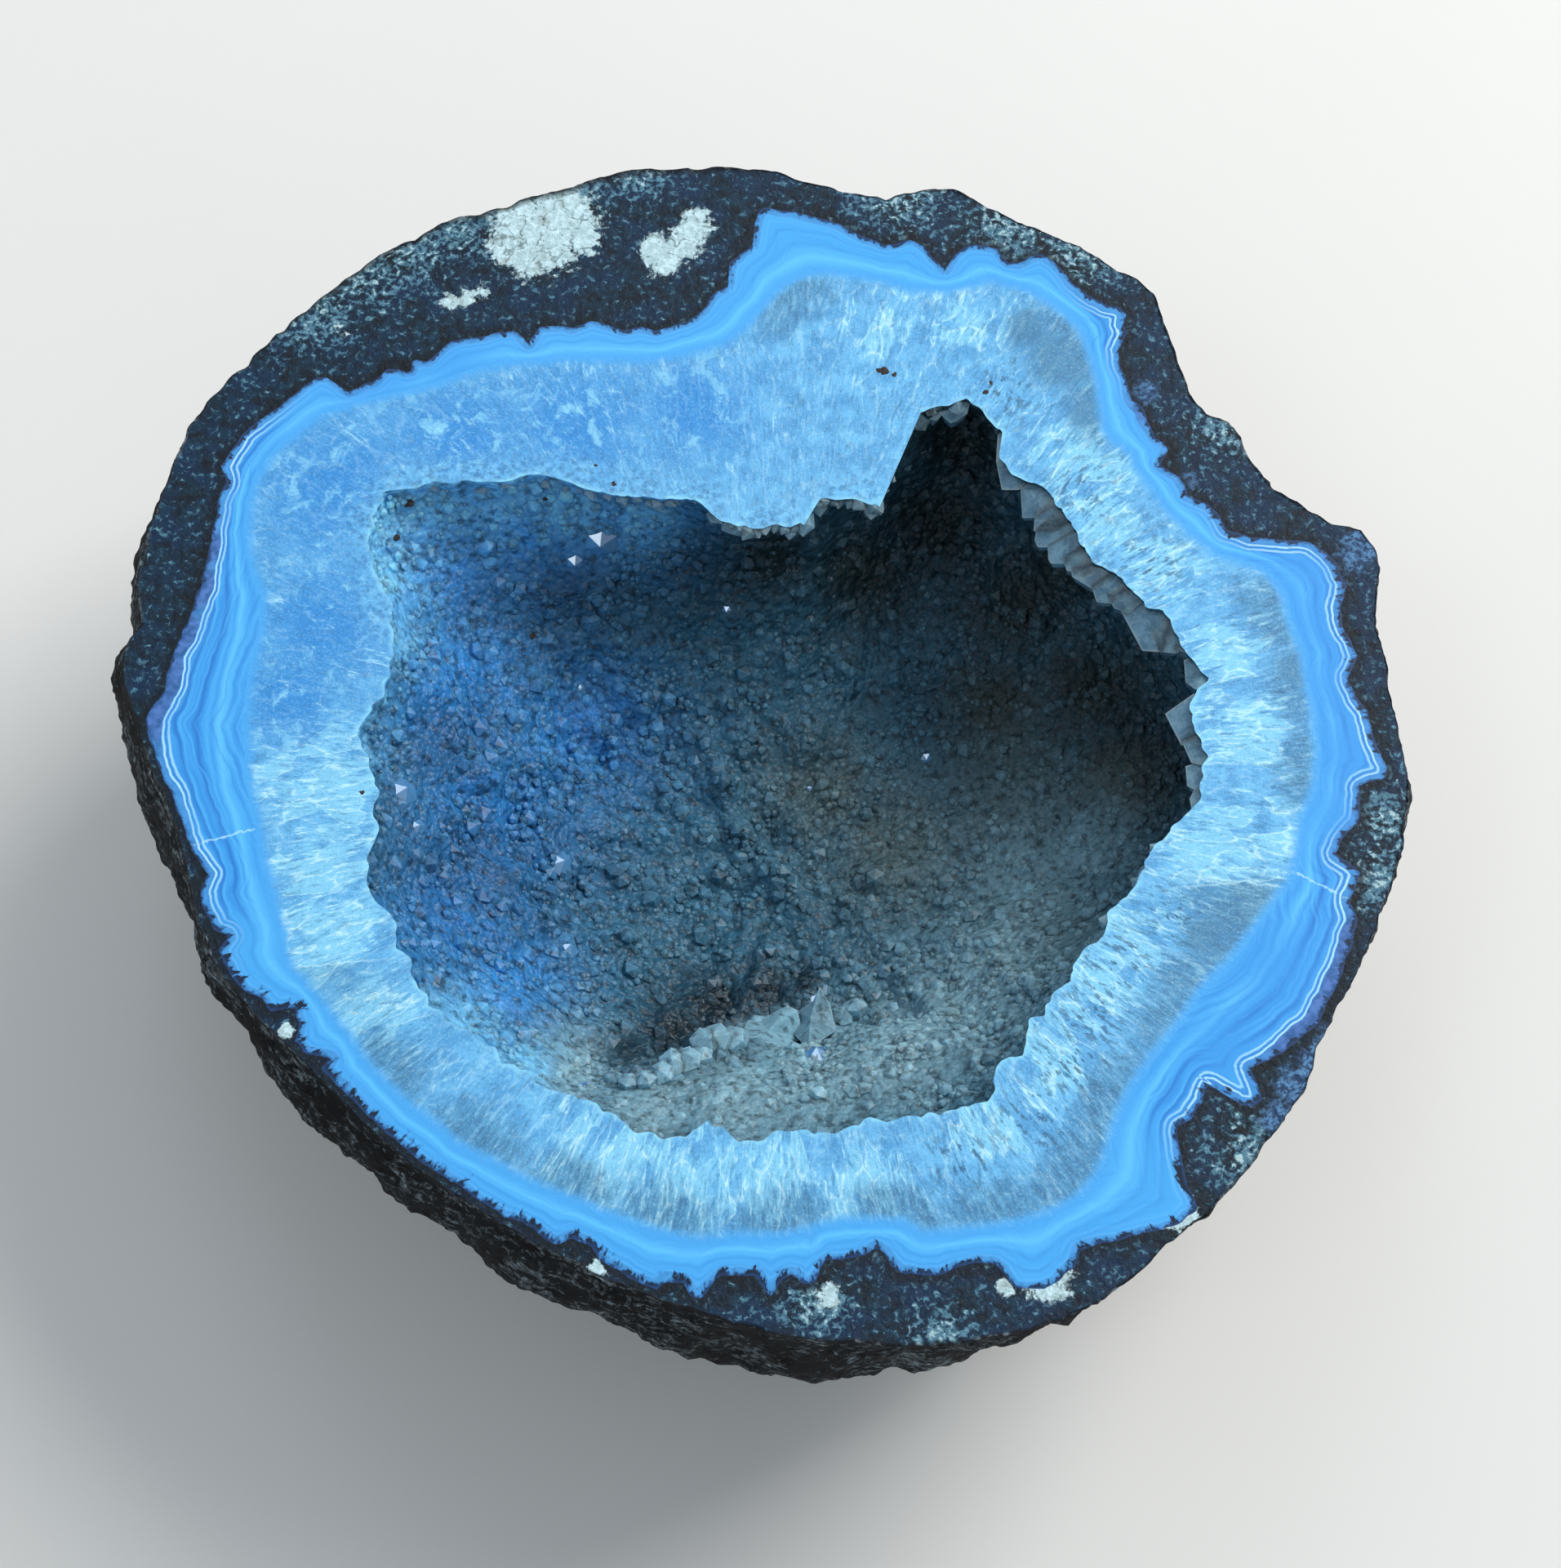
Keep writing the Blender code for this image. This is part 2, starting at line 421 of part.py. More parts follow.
def add_crust(layers):
    """The crystals that line the hollow, grown together in one crust with a smooth back."""
    random = np.random.default_rng(SEED)
    foot = layers.crystals_foot
    inner, full_length = crystal_sites(foot, random)
    candidates = rim_sites(full_length) + inner
    points = [Vector((across, along)) for _, _, across, along in candidates]
    rim = list(range(RIM_CRYSTALS))
    flat, _, triangles, sources, _, _ = geometry.delaunay_2d_cdt(points, [], [rim], 1, 1e-7)
    numbers = [source[0] for source in sources]

    mesh = bmesh.new()
    tips = []
    for number in numbers:
        angle, down, _, _ = candidates[number]
        if number < RIM_CRYSTALS:
            tip = place(angle, 0, foot(angle, 0) - random.uniform(0.0, CUT_CRYSTAL_REACH))
        else:
            height = random.uniform(*CRYSTAL_HEIGHT)
            tip = place(angle, down, foot(angle, down) - height) + Vector(random.normal(0, CRYSTAL_LEAN, 3))
            tip.z = min(tip.z, HEIGHT - CRYSTAL_LEAN)
        tips.append(mesh.verts.new(tip))
    valleys = []
    for triangle in triangles:
        middle = sum((flat[corner] for corner in triangle), Vector((0, 0))) / 3
        angle = math.atan2(middle.y, middle.x) % math.tau
        downs, lengths = unrolled_lengths(foot, angle)
        share = middle.length / full_length(angle)
        down = max(float(np.interp(share * lengths[-1], lengths, downs)), SHALLOWEST_VALLEY)
        valleys.append(mesh.verts.new(place(angle, down, foot(angle, down))))

    beside = {}
    for number, triangle in enumerate(triangles):
        for start, end in zip(triangle, (*triangle[1:], triangle[0])):
            beside.setdefault((min(start, end), max(start, end)), []).append(number)
    front = {}
    for (start, end), sharing in sorted(beside.items()):
        if len(sharing) == 2:
            low, high = (valleys[number] for number in sharing)
            mesh.faces.new((tips[start], low, high))
            mesh.faces.new((tips[end], high, low))
            continue
        if (numbers[start] + 1) % RIM_CRYSTALS != numbers[end]:
            start, end = end, start
        angle = candidates[numbers[start]][0] + math.pi / RIM_CRYSTALS
        notch = mesh.verts.new(place(angle, 0, foot(angle, 0) + random.uniform(*CUT_NOTCH_DEPTH)))
        valley = valleys[sharing[0]]
        mesh.faces.new((tips[start], valley, notch))
        mesh.faces.new((tips[end], notch, valley))
        front[numbers[start]] = (tips[start], notch)
    edge = [corner for number in sorted(front) for corner in front[number]]
    back = bowl(mesh, layers.crust_back, INNER_RINGS)
    stitch(mesh, edge, back)
    return add_object("crystal_crust", mesh)


def centre_on_base(objects):
    """Moves the pieces so that the origin is the middle of their box, on the resting surface."""
    corners = [vertex.co for obj in objects for vertex in obj.data.vertices]
    middle = [(min(c[axis] for c in corners) + max(c[axis] for c in corners)) / 2 for axis in range(2)]
    for obj in objects:
        for vertex in obj.data.vertices:
            vertex.co.x -= middle[0]
            vertex.co.y -= middle[1]


def main():
    for obj in list(bpy.data.objects):
        bpy.data.objects.remove(obj)
    layers = Layers()
    pieces = [
        add_layer(
            "rock_rind",
            layers.rock_outside,
            ROCK_RINGS,
            lambda angle, down: layers.agate_outside(angle, down) + LAYER_GAP,
        ),
        add_layer(
            "agate_band",
            layers.agate_outside,
            INNER_RINGS,
            lambda angle, down: layers.quartz_outside(angle, down) + LAYER_GAP,
        ),
        add_layer(
            "quartz_wall",
            layers.quartz_outside,
            INNER_RINGS,
            lambda angle, down: layers.crust_back(angle, down) + LAYER_GAP,
        ),
        add_crust(layers),
    ]
    centre_on_base(pieces)


main()
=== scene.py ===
"""The looks of an agate geode half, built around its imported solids.

The sawn face is made of rings that share their edges: rock, banded agate, milky quartz and the cut
edge of the crystal crust. The hollow is lined by a skin that follows the solid crust, with some
thousands of quartz points on it. Units are metres, and lengths inside materials are millimetres.
"""

import itertools
import math
import random

import bpy
import numpy as np
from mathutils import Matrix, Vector, kdtree, noise
from mathutils.bvhtree import BVHTree


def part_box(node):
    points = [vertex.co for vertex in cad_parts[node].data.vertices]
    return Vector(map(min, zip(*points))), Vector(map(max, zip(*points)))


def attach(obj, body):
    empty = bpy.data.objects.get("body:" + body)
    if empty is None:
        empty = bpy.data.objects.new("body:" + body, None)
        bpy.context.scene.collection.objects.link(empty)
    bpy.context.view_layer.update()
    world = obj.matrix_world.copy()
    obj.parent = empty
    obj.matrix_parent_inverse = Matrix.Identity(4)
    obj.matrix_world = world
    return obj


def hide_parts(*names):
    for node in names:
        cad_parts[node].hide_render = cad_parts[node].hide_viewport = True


# The photograph's view: where the camera looked on the sawn face, and from how far.
VIEW_SIZE = (1912, 1920)
VIEW_ELEVATION = math.radians(66)
VIEW_FIELD = math.radians(30)
VIEW_TARGET = (0.00267, -0.00747)
VIEW_DISTANCE = 0.24936
SENSOR = 36.0
MM = 1000.0

# The middle of the hollow on the sawn face, from which the solids were laid out.
MIDDLE = (0.00225, -0.00594)
SEED = 11

# Columns round the middle, shared by all rings, and degrees below the sawn face of the rows.
COLUMNS = 900
ROCK_ROWS, ROCK_ROW_GROWTH = 78, 1.25
CRUST_ROWS, CRUST_ROW_GROWTH = 44, 1.15
HIDDEN_ROWS = (8, 28, 50, 72)
ROCK_TOP_ROWS = (0.0, 0.06, 0.14, 0.24, 0.36, 0.5, 0.64, 0.76, 0.86, 0.93, 0.975, 1.0)
AGATE_TOP_ROWS = (0.0, 0.03, 0.06, 0.1, 0.15, 0.2, 0.27, 0.35, 0.45, 0.55, 0.65, 0.75, 0.85, 0.93, 1.0)
QUARTZ_TOP_ROWS = (0.0, 0.06, 0.13, 0.21, 0.3, 0.4, 0.5, 0.6, 0.7, 0.8, 0.9, 1.0)
CRUST_TOP_ROWS = (0.0, 0.2, 0.4, 0.6, 0.75, 0.88, 1.0)

# The agate's toothed outer edge, in the photograph's pixels, clockwise from the left.
AGATE_OUTER_EDGE = [
    (176, 885), (183, 872), (200, 845), (208, 815), (218, 785), (228, 765), (240, 735), (248, 705),
    (256, 680), (262, 640), (268, 610), (278, 590), (272, 572), (280, 555), (292, 540), (305, 522),
    (320, 512), (340, 500), (352, 490), (370, 475), (388, 462), (405, 463), (415, 475), (427, 480),
    (445, 470), (460, 468), (472, 452), (487, 452), (503, 458), (506, 440), (525, 442), (540, 430),
    (552, 418), (575, 415), (600, 410), (632, 405), (646, 420), (660, 400), (685, 398), (702, 402),
    (722, 393), (745, 397), (762, 404), (785, 400), (802, 405), (818, 400), (838, 395), (852, 387),
    (864, 377), (872, 362), (892, 350), (893, 323), (907, 310), (921, 302), (926, 265), (936, 252),
    (965, 258), (1000, 265), (1020, 272), (1040, 280), (1060, 290), (1085, 301), (1115, 292),
    (1132, 302), (1146, 320), (1159, 330), (1166, 315), (1182, 301), (1200, 300), (1220, 305),
    (1236, 321), (1250, 322), (1263, 314), (1277, 310), (1300, 330), (1312, 347), (1332, 361),
    (1352, 371), (1372, 376), (1384, 388), (1376, 398), (1383, 412), (1369, 428), (1371, 446),
    (1381, 470), (1386, 490), (1401, 500), (1406, 516), (1416, 536), (1431, 550), (1421, 570),
    (1441, 581), (1456, 605), (1476, 616), (1491, 627), (1501, 648), (1530, 658), (1560, 660),
    (1600, 662), (1626, 676), (1641, 696), (1650, 718), (1641, 746), (1646, 771), (1656, 786),
    (1664, 802), (1651, 830), (1661, 851), (1675, 872), (1681, 896), (1687, 916), (1699, 937),
    (1699, 953), (1666, 960), (1668, 985), (1664, 1008), (1641, 1030), (1636, 1046), (1652, 1056),
    (1667, 1068), (1663, 1084), (1652, 1101), (1661, 1122), (1659, 1143), (1651, 1170), (1641, 1196),
    (1628, 1225), (1616, 1250), (1601, 1263), (1586, 1278), (1566, 1292), (1546, 1301), (1532, 1309),
    (1541, 1327), (1546, 1345), (1533, 1356), (1513, 1351), (1508, 1335), (1495, 1322), (1478, 1330),
    (1470, 1350), (1460, 1370), (1443, 1380), (1446, 1402), (1449, 1431), (1454, 1452), (1466, 1472),
    (1468, 1487), (1441, 1501), (1411, 1508), (1381, 1515), (1351, 1522), (1323, 1530), (1316, 1551),
    (1300, 1566), (1280, 1579), (1258, 1579), (1240, 1575), (1232, 1562), (1221, 1550), (1200, 1545),
    (1176, 1550), (1151, 1560), (1130, 1562), (1108, 1560), (1091, 1550), (1084, 1535), (1075, 1528),
    (1050, 1540), (1012, 1544), (1004, 1556), (998, 1570), (985, 1575), (970, 1561), (956, 1570),
    (946, 1590), (936, 1580), (925, 1563), (900, 1560), (880, 1562), (868, 1580), (858, 1591),
    (846, 1588), (838, 1572), (815, 1570), (800, 1583), (776, 1573), (765, 1558), (735, 1545),
    (725, 1526), (702, 1516), (680, 1526), (660, 1511), (640, 1496), (612, 1490), (590, 1475),
    (562, 1450), (540, 1440), (515, 1430), (498, 1415), (472, 1402), (456, 1385), (440, 1362),
    (424, 1350), (412, 1330), (394, 1335), (376, 1325), (386, 1310), (404, 1296), (376, 1290),
    (361, 1280), (367, 1252), (362, 1233), (346, 1236), (330, 1240), (321, 1221), (301, 1215),
    (286, 1200), (271, 1185), (266, 1165), (279, 1146), (263, 1140), (255, 1125), (244, 1105),
    (246, 1088), (256, 1070), (243, 1052), (232, 1040), (226, 1020), (216, 1000), (206, 985),
    (200, 957), (191, 940), (183, 912),
]

# The hollow's edge on the sawn face, likewise.
HOLLOW_EDGE = [
    (430, 900), (455, 870), (475, 830), (482, 790), (478, 750), (460, 712), (452, 670), (450, 630),
    (470, 603), (510, 592), (560, 588), (610, 584), (660, 582), (700, 590), (750, 600), (800, 607),
    (850, 613), (880, 630), (920, 640), (960, 645), (985, 640), (1005, 612), (1045, 612),
    (1080, 615), (1087, 590), (1096, 570), (1101, 545), (1110, 530), (1117, 505), (1140, 497),
    (1165, 494), (1185, 488), (1200, 494), (1212, 510), (1228, 530), (1228, 555), (1246, 575),
    (1265, 590), (1290, 602), (1298, 620), (1312, 642), (1325, 665), (1337, 685), (1365, 700),
    (1386, 712), (1396, 735), (1425, 747), (1440, 775), (1462, 797), (1475, 816), (1479, 835),
    (1466, 850), (1459, 870), (1466, 890), (1476, 906), (1478, 930), (1478, 952), (1475, 970),
    (1469, 985), (1454, 1000), (1430, 1020), (1408, 1045), (1400, 1060), (1394, 1080), (1375, 1100),
    (1363, 1120), (1355, 1140), (1344, 1155), (1330, 1170), (1318, 1185), (1311, 1200), (1299, 1220),
    (1280, 1240), (1265, 1252), (1258, 1275), (1250, 1291), (1230, 1297), (1219, 1307), (1216, 1320),
    (1220, 1335), (1208, 1347), (1180, 1355), (1150, 1365), (1110, 1369), (1060, 1373), (1030, 1385),
    (1010, 1395), (980, 1398), (940, 1397), (905, 1400), (885, 1385), (865, 1377), (850, 1386),
    (838, 1397), (805, 1399), (780, 1388), (755, 1366), (715, 1348), (680, 1338), (650, 1324),
    (620, 1304), (595, 1284), (575, 1262), (545, 1250), (530, 1235), (515, 1210), (500, 1180),
    (484, 1155), (478, 1130), (462, 1103), (452, 1085), (450, 1052), (460, 1030), (459, 1005),
    (455, 980), (452, 950), (441, 922),
]

# Small teeth that noise adds to each edge, as (size, height), in metres.
AGATE_TEETH = [(0.0016, 0.00022), (0.0007, 0.00012)]
ROCK_CHIPS = [(0.0030, 0.00035), (0.0011, 0.00022)]
QUARTZ_EDGE_WAVES = [(0.0035, 0.00025)]
HOLLOW_TEETH = [(0.0036, 0.0012), (0.0015, 0.0007)]
# How much black rock grows into the agate's outer part, as (degrees from the right, share).
SPIKE_SHARE = [
    (0, 0.4), (30, 0.5), (60, 0.2), (90, 0.3), (115, 0.3), (150, 0.3), (175, 0.0), (190, 0.1), (205, 0.7),
    (225, 0.7), (270, 0.6), (290, 0.35), (310, 0.5), (335, 0.3),
]
# The least that the agate's crisp line shows.
LEAST_LINE = 0.05
# The circle, in millimetres, along which fibres are spaced.
SPOKE_CIRCLE = 38.0
# The least widths of the rock and of the other layers on the sawn face.
THINNEST_ROCK, THINNEST_LAYER = 0.0006, 0.0008
# The outline of the hollow is read this much too far in.
HOLLOW_SLACK = 0.00025
CHIP_SIZE, CHIP_DEPTH = 0.0022, 0.00035

# Relief of the rock's skin below the sawn face, from coarse to fine, as (size, height).
ROCK_RELIEF = [(0.0055, 0.00055), (0.0024, 0.00042), (0.0011, 0.00030), (0.0005, 0.00012)]
ROCK_FOLDS, ROCK_FOLD_HEIGHT = 0.0028, 0.00045
SKIN_WAVES = [(0.0040, 0.00045), (0.0016, 0.00030)]
SKIN_BACK = 0.0006
# Degrees below the sawn face over which relief sets in, and over which a side leaves its edge.
RELIEF_START, ROCK_START, SKIN_START = 3.0, 2.5, 5.0
# The stone's lowest places end this far above the floor.
OFF_FLOOR = 0.00002

# Quartz points, as (how many, smallest and largest inradius, closest spacing as a share of it).
CRYSTALS = [(2400, 0.00040, 0.00085, 0.95), (6500, 0.00022, 0.00040, 0.9)]
CRYSTAL_LEAN = math.radians(13)
SIDES = 6
PYRAMID_HEIGHT = 0.62
# How crystals are scattered: steps round and down the wall, the least slope that counts, and how
# often each is tried.
SCATTER_ROUND, SCATTER_DOWN, LEAST_SLOPE, TRIES = 120, 60, 0.15, 14
# How much of its size in the photograph a bright facet fills.
GLINT_FILL = 0.62
# Rings and columns of a speck, its height and its bumps as shares of its radius. A speck this close
# to the sawn face lies in it, this far down as a share of its radius.
SPECK_ROUNDS, SPECK_TURNS, SPECK_HEIGHT, SPECK_BUMPS = 5, 9, 0.45, 0.45
SPECK_ON_FACE, SPECK_FLAT = 0.0002, 0.35
# Rays start this far off the skin, and crystals stand this far behind the hollow's edge.
OFF_SKIN, BEHIND_EDGE = 0.001, 0.0004
# Crystals end this far below the sawn face, so that none lies in it.
UNDER_SAW = 0.00004


def tone(red, green, blue):
    """Linear colour from values between 0 and 255 as seen on a screen."""
    shares = (value / 255 for value in (red, green, blue))
    return tuple(s / 12.92 if s <= 0.04045 else ((s + 0.055) / 1.055) ** 2.4 for s in shares)


def smooth_step(value, low, high):
    share = np.clip((value - low) / (high - low), 0.0, 1.0)
    return share * share * (3 - 2 * share)


def view_ray(pixel):
    """The camera's place and the direction of its ray through a pixel of the photograph."""
    lens = VIEW_SIZE[1] / 2 / math.tan(VIEW_FIELD / 2)
    across = (pixel[0] - VIEW_SIZE[0] / 2) / lens
    up = (VIEW_SIZE[1] / 2 - pixel[1]) / lens
    sine, cosine = math.sin(VIEW_ELEVATION), math.cos(VIEW_ELEVATION)
    place = Vector((VIEW_TARGET[0], VIEW_TARGET[1] - VIEW_DISTANCE * cosine, SAWN + VIEW_DISTANCE * sine))
    direction = Vector((across, cosine + up * sine, up * cosine - sine))
    return place, direction


def pixel_size(pixels):
    """About how many metres a length in the photograph covers on the stone."""
    return pixels * VIEW_DISTANCE * 2 * math.tan(VIEW_FIELD / 2) / VIEW_SIZE[1]


def sawn_spot(pixel):
    """Where a pixel of the photograph lies on the sawn face."""
    place, direction = view_ray(pixel)
    reach = (SAWN - place.z) / direction.z
    spot = place + direction * reach
    return spot.x, spot.y


def wave(spots, size, shift):
    """Smooth noise from about -1 to 1 at each spot, with lumps of this size."""
    moved = Vector((shift * 7.31, shift * 3.17, shift * 1.73))
    return np.array([noise.noise(Vector(spot) / size + moved) for spot in spots])


def edge_spots(radii):
    return np.stack([radii * np.cos(ANGLES), radii * np.sin(ANGLES), np.zeros(COLUMNS)], axis=1)


def roughened(radii, relief, shift, inward=False):
    """An edge with the small waves of a table of (size, height) added to it."""
    spots = edge_spots(radii)
    result = radii.copy()
    for i, (size, height) in enumerate(relief):
        change = height * wave(spots, size, shift + i)
        result = result - np.abs(change) if inward else result + change
    return result


def solid_edge(name, outermost):
    """The distance of a solid's edge on the sawn face from the middle, at each column."""
    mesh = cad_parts[name].data
    best = {}
    for vertex in mesh.vertices:
        if vertex.co.z < SAWN - 1e-6:
            continue
        x, y = vertex.co.x - MIDDLE[0], vertex.co.y - MIDDLE[1]
        step = round(math.degrees(math.atan2(y, x)) / 2) % 180
        length = math.hypot(x, y)
        if step not in best or (length > best[step]) == outermost:
            best[step] = length
    steps = sorted(best)
    return np.interp(np.degrees(ANGLES), [2 * s for s in steps], [best[s] for s in steps], period=360)


def outline_edge(pixels, outermost):
    """The distance of a photographed outline from the middle, where each column crosses it."""
    spots = [sawn_spot(pixel) for pixel in pixels]
    ends = spots[1:] + spots[:1]
    result = np.full(COLUMNS, 0.0 if outermost else 1.0)
    for one, two in zip(spots, ends):
        x, y = one[0] - MIDDLE[0], one[1] - MIDDLE[1]
        dx, dy = two[0] - one[0], two[1] - one[1]
        across = dx * np.sin(ANGLES) - dy * np.cos(ANGLES)
        across = np.where(np.abs(across) < 1e-12, 1e-12, across)
        share = (y * np.cos(ANGLES) - x * np.sin(ANGLES)) / across
        reach = (x + dx * share) * np.cos(ANGLES) + (y + dy * share) * np.sin(ANGLES)
        crossed = (share >= -0.001) & (share <= 1.001) & (reach > 0)
        better = reach > result if outermost else reach < result
        result = np.where(crossed & better, reach, result)
    return result


def blurred(values, width, axis=-1, wrap=True):
    """Values smoothed with a round kernel whose half width is given in steps."""
    steps = np.arange(-2 * width, 2 * width + 1)
    weights = np.exp(-0.5 * (steps / (0.7 * width)) ** 2)
    weights /= weights.sum()
    total = np.zeros_like(values)
    for step, weight in zip(steps, weights):
        if wrap:
            total += weight * np.roll(values, step, axis=axis)
        else:
            spots = np.clip(np.arange(values.shape[axis]) + step, 0, values.shape[axis] - 1)
            total += weight * np.take(values, spots, axis=axis)
    return total


def tree_of(mesh):
    corners = [vertex.co.copy() for vertex in mesh.vertices]
    return BVHTree.FromPolygons(corners, [tuple(face.vertices) for face in mesh.polygons])


class Surface:
    """One side of a solid, read as distances from the middle of the sawn face."""

    ANGLE_STEPS = 360
    DOWN_STEPS = 90
    FIRST_DOWN = math.radians(0.4)
    FAR_OUT = 0.2

    def __init__(self, name, from_outside, blur):
        tree = tree_of(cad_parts[name].data)
        self.downs = np.linspace(self.FIRST_DOWN, math.pi / 2, self.DOWN_STEPS)
        reach = np.zeros((self.DOWN_STEPS, self.ANGLE_STEPS))
        for i, down in enumerate(self.downs):
            for j in range(self.ANGLE_STEPS):
                ray = direction(math.tau * j / self.ANGLE_STEPS, down)
                if from_outside:
                    reach[i, j] = self.FAR_OUT - tree.ray_cast(CENTRE + ray * self.FAR_OUT, -ray)[3]
                else:
                    reach[i, j] = tree.ray_cast(CENTRE, ray)[3]
        reach = blurred(reach, blur)
        self.reach = blurred(reach, blur, axis=0, wrap=False)

    def rows(self, downs):
        """Distances at these angles below the sawn face, for every column."""
        steps = np.arange(self.ANGLE_STEPS + 1) * math.tau / self.ANGLE_STEPS
        wrapped = np.concatenate([self.reach, self.reach[:, :1]], axis=1)
        wide = np.array([np.interp(ANGLES, steps, row) for row in wrapped])
        columns = range(COLUMNS)
        return np.array([[np.interp(down, self.downs, wide[:, j]) for j in columns] for down in downs])

    def at(self, angle, down):
        """The distance in one direction."""
        i = np.clip((down - self.downs[0]) / (self.downs[1] - self.downs[0]), 0, self.DOWN_STEPS - 1.001)
        j = (angle % math.tau) / math.tau * self.ANGLE_STEPS
        i0, j0 = int(i), int(j)
        di, dj = i - i0, j - j0
        j0 %= self.ANGLE_STEPS
        j1 = (j0 + 1) % self.ANGLE_STEPS
        above = self.reach[i0, j0] * (1 - dj) + self.reach[i0, j1] * dj
        below = self.reach[i0 + 1, j0] * (1 - dj) + self.reach[i0 + 1, j1] * dj
        return above * (1 - di) + below * di


def direction(angle, down):
    return Vector((math.cos(down) * math.cos(angle), math.cos(down) * math.sin(angle), -math.sin(down)))


def ring_points(reach, down):
    """A ring of points at distances from the middle, at one angle below the sawn face."""
    flat = reach * math.cos(down)
    heights = SAWN - reach * math.sin(down)
    across = MIDDLE[0] + flat * np.cos(ANGLES)
    along = MIDDLE[1] + flat * np.sin(ANGLES)
    return np.stack([across, along, np.maximum(heights, 0.0)], axis=1)


def pole_of(surface):
    return np.array([[MIDDLE[0], MIDDLE[1], max(0.0, SAWN - surface.at(0.0, math.pi / 2))]])


def made_piece(name, points, faces, materials, marks=None):
    """An object from points and faces, with marks as {attribute: one value, or one for each point}."""
    mesh = bpy.data.meshes.new(name)
    mesh.from_pydata(points, [], faces)
    for material in materials:
        mesh.materials.append(material)
    for key, values in (marks or {}).items():
        values = np.full(len(points), values, dtype=np.float32)
        mesh.attributes.new(key, "FLOAT", "POINT").data.foreach_set("value", values)
    mesh.update()
    piece = bpy.data.objects.new(name, mesh)
    bpy.context.scene.collection.objects.link(piece)
    return piece


def closed_bowl(name, rings, poles, materials, marks, smooth_rows):
    """A closed mesh from rings of points with a pole at each end.

    Each material is given with the first row of faces that it covers, and smooth_rows are the
    ranges of rows that shade smoothly. marks is {attribute: one value, or one array for each ring}.
    """
    points = np.vstack([pole_of(poles[0]), *rings, pole_of(poles[1])])
    last = len(points) - 1
    around = [(j, (j + 1) % COLUMNS) for j in range(COLUMNS)]
    faces = [(0, 1 + k, 1 + j) for j, k in around]
    for low in range(1, last - COLUMNS, COLUMNS):
        high = low + COLUMNS
        faces += [(low + j, low + k, high + k, high + j) for j, k in around]
    faces += [(last - COLUMNS + j, last - COLUMNS + k, last) for j, k in around]
    for key, values in marks.items():
        if not isinstance(values, float):
            marks[key] = np.concatenate([[values[0][0]], *values, [values[-1][0]]])
    piece = made_piece(name, points.tolist(), faces, [material for material, first in materials], marks)
    smooth = np.zeros(len(faces), dtype=bool)
    slots = np.zeros(len(faces), dtype=np.int32)
    for first, stop in smooth_rows:
        smooth[first * COLUMNS:stop * COLUMNS] = True
    for slot, (material, first) in enumerate(materials):
        slots[first * COLUMNS:] = slot
    piece.data.polygons.foreach_set("use_smooth", smooth)
    piece.data.polygons.foreach_set("material_index", slots)
    piece.data.update()
    return piece


def edge_distance(edge):
    """A function that gives the distance in millimetres of points from an edge on the sawn face."""
    parts = 4
    spots = []
    for step in range(COLUMNS * parts):
        angle = math.tau * step / (COLUMNS * parts)
        length = np.interp(angle, ANGLES, edge, period=math.tau)
        spots.append((MIDDLE[0] + length * math.cos(angle), MIDDLE[1] + length * math.sin(angle), SAWN))
    tree = kdtree.KDTree(len(spots))
    for i, spot in enumerate(spots):
        tree.insert(spot, i)
    tree.balance()
    return lambda points: np.array([tree.find(point)[2] * MM for point in points])


def zone_mask(points, zones):
    """How far each point lies in zones of the photograph, given as (x, y, radius) in pixels.

    A point below the sawn face counts where the photograph's view of it crosses that face.
    """
    mask = np.zeros(len(points))
    eye = view_ray((0, 0))[0]
    part = (eye.z - SAWN) / (eye.z - points[:, 2])
    across, along = (eye[i] + (points[:, i] - eye[i]) * part for i in (0, 1))
    for x, y, radius in zones:
        spot = sawn_spot((x, y))
        edge = sawn_spot((x + radius, y))
        size = edge[0] - spot[0]
        away = np.hypot(across - spot[0], along - spot[1]) / size
        mask = np.maximum(mask, np.exp(-(away ** 2)))
    return mask


def top_rings(inner, outer, shares):
    """Rings on the sawn face from an outer edge, or an inner one, to the other."""
    return [ring_points(inner + (outer - inner) * share, 0.0) for share in shares]


def zone_marks(rings, tables):
    """How far each point of each ring lies in the zones of each table."""
    return {key: [zone_mask(ring, zones) for ring in rings] for key, zones in tables.items()}


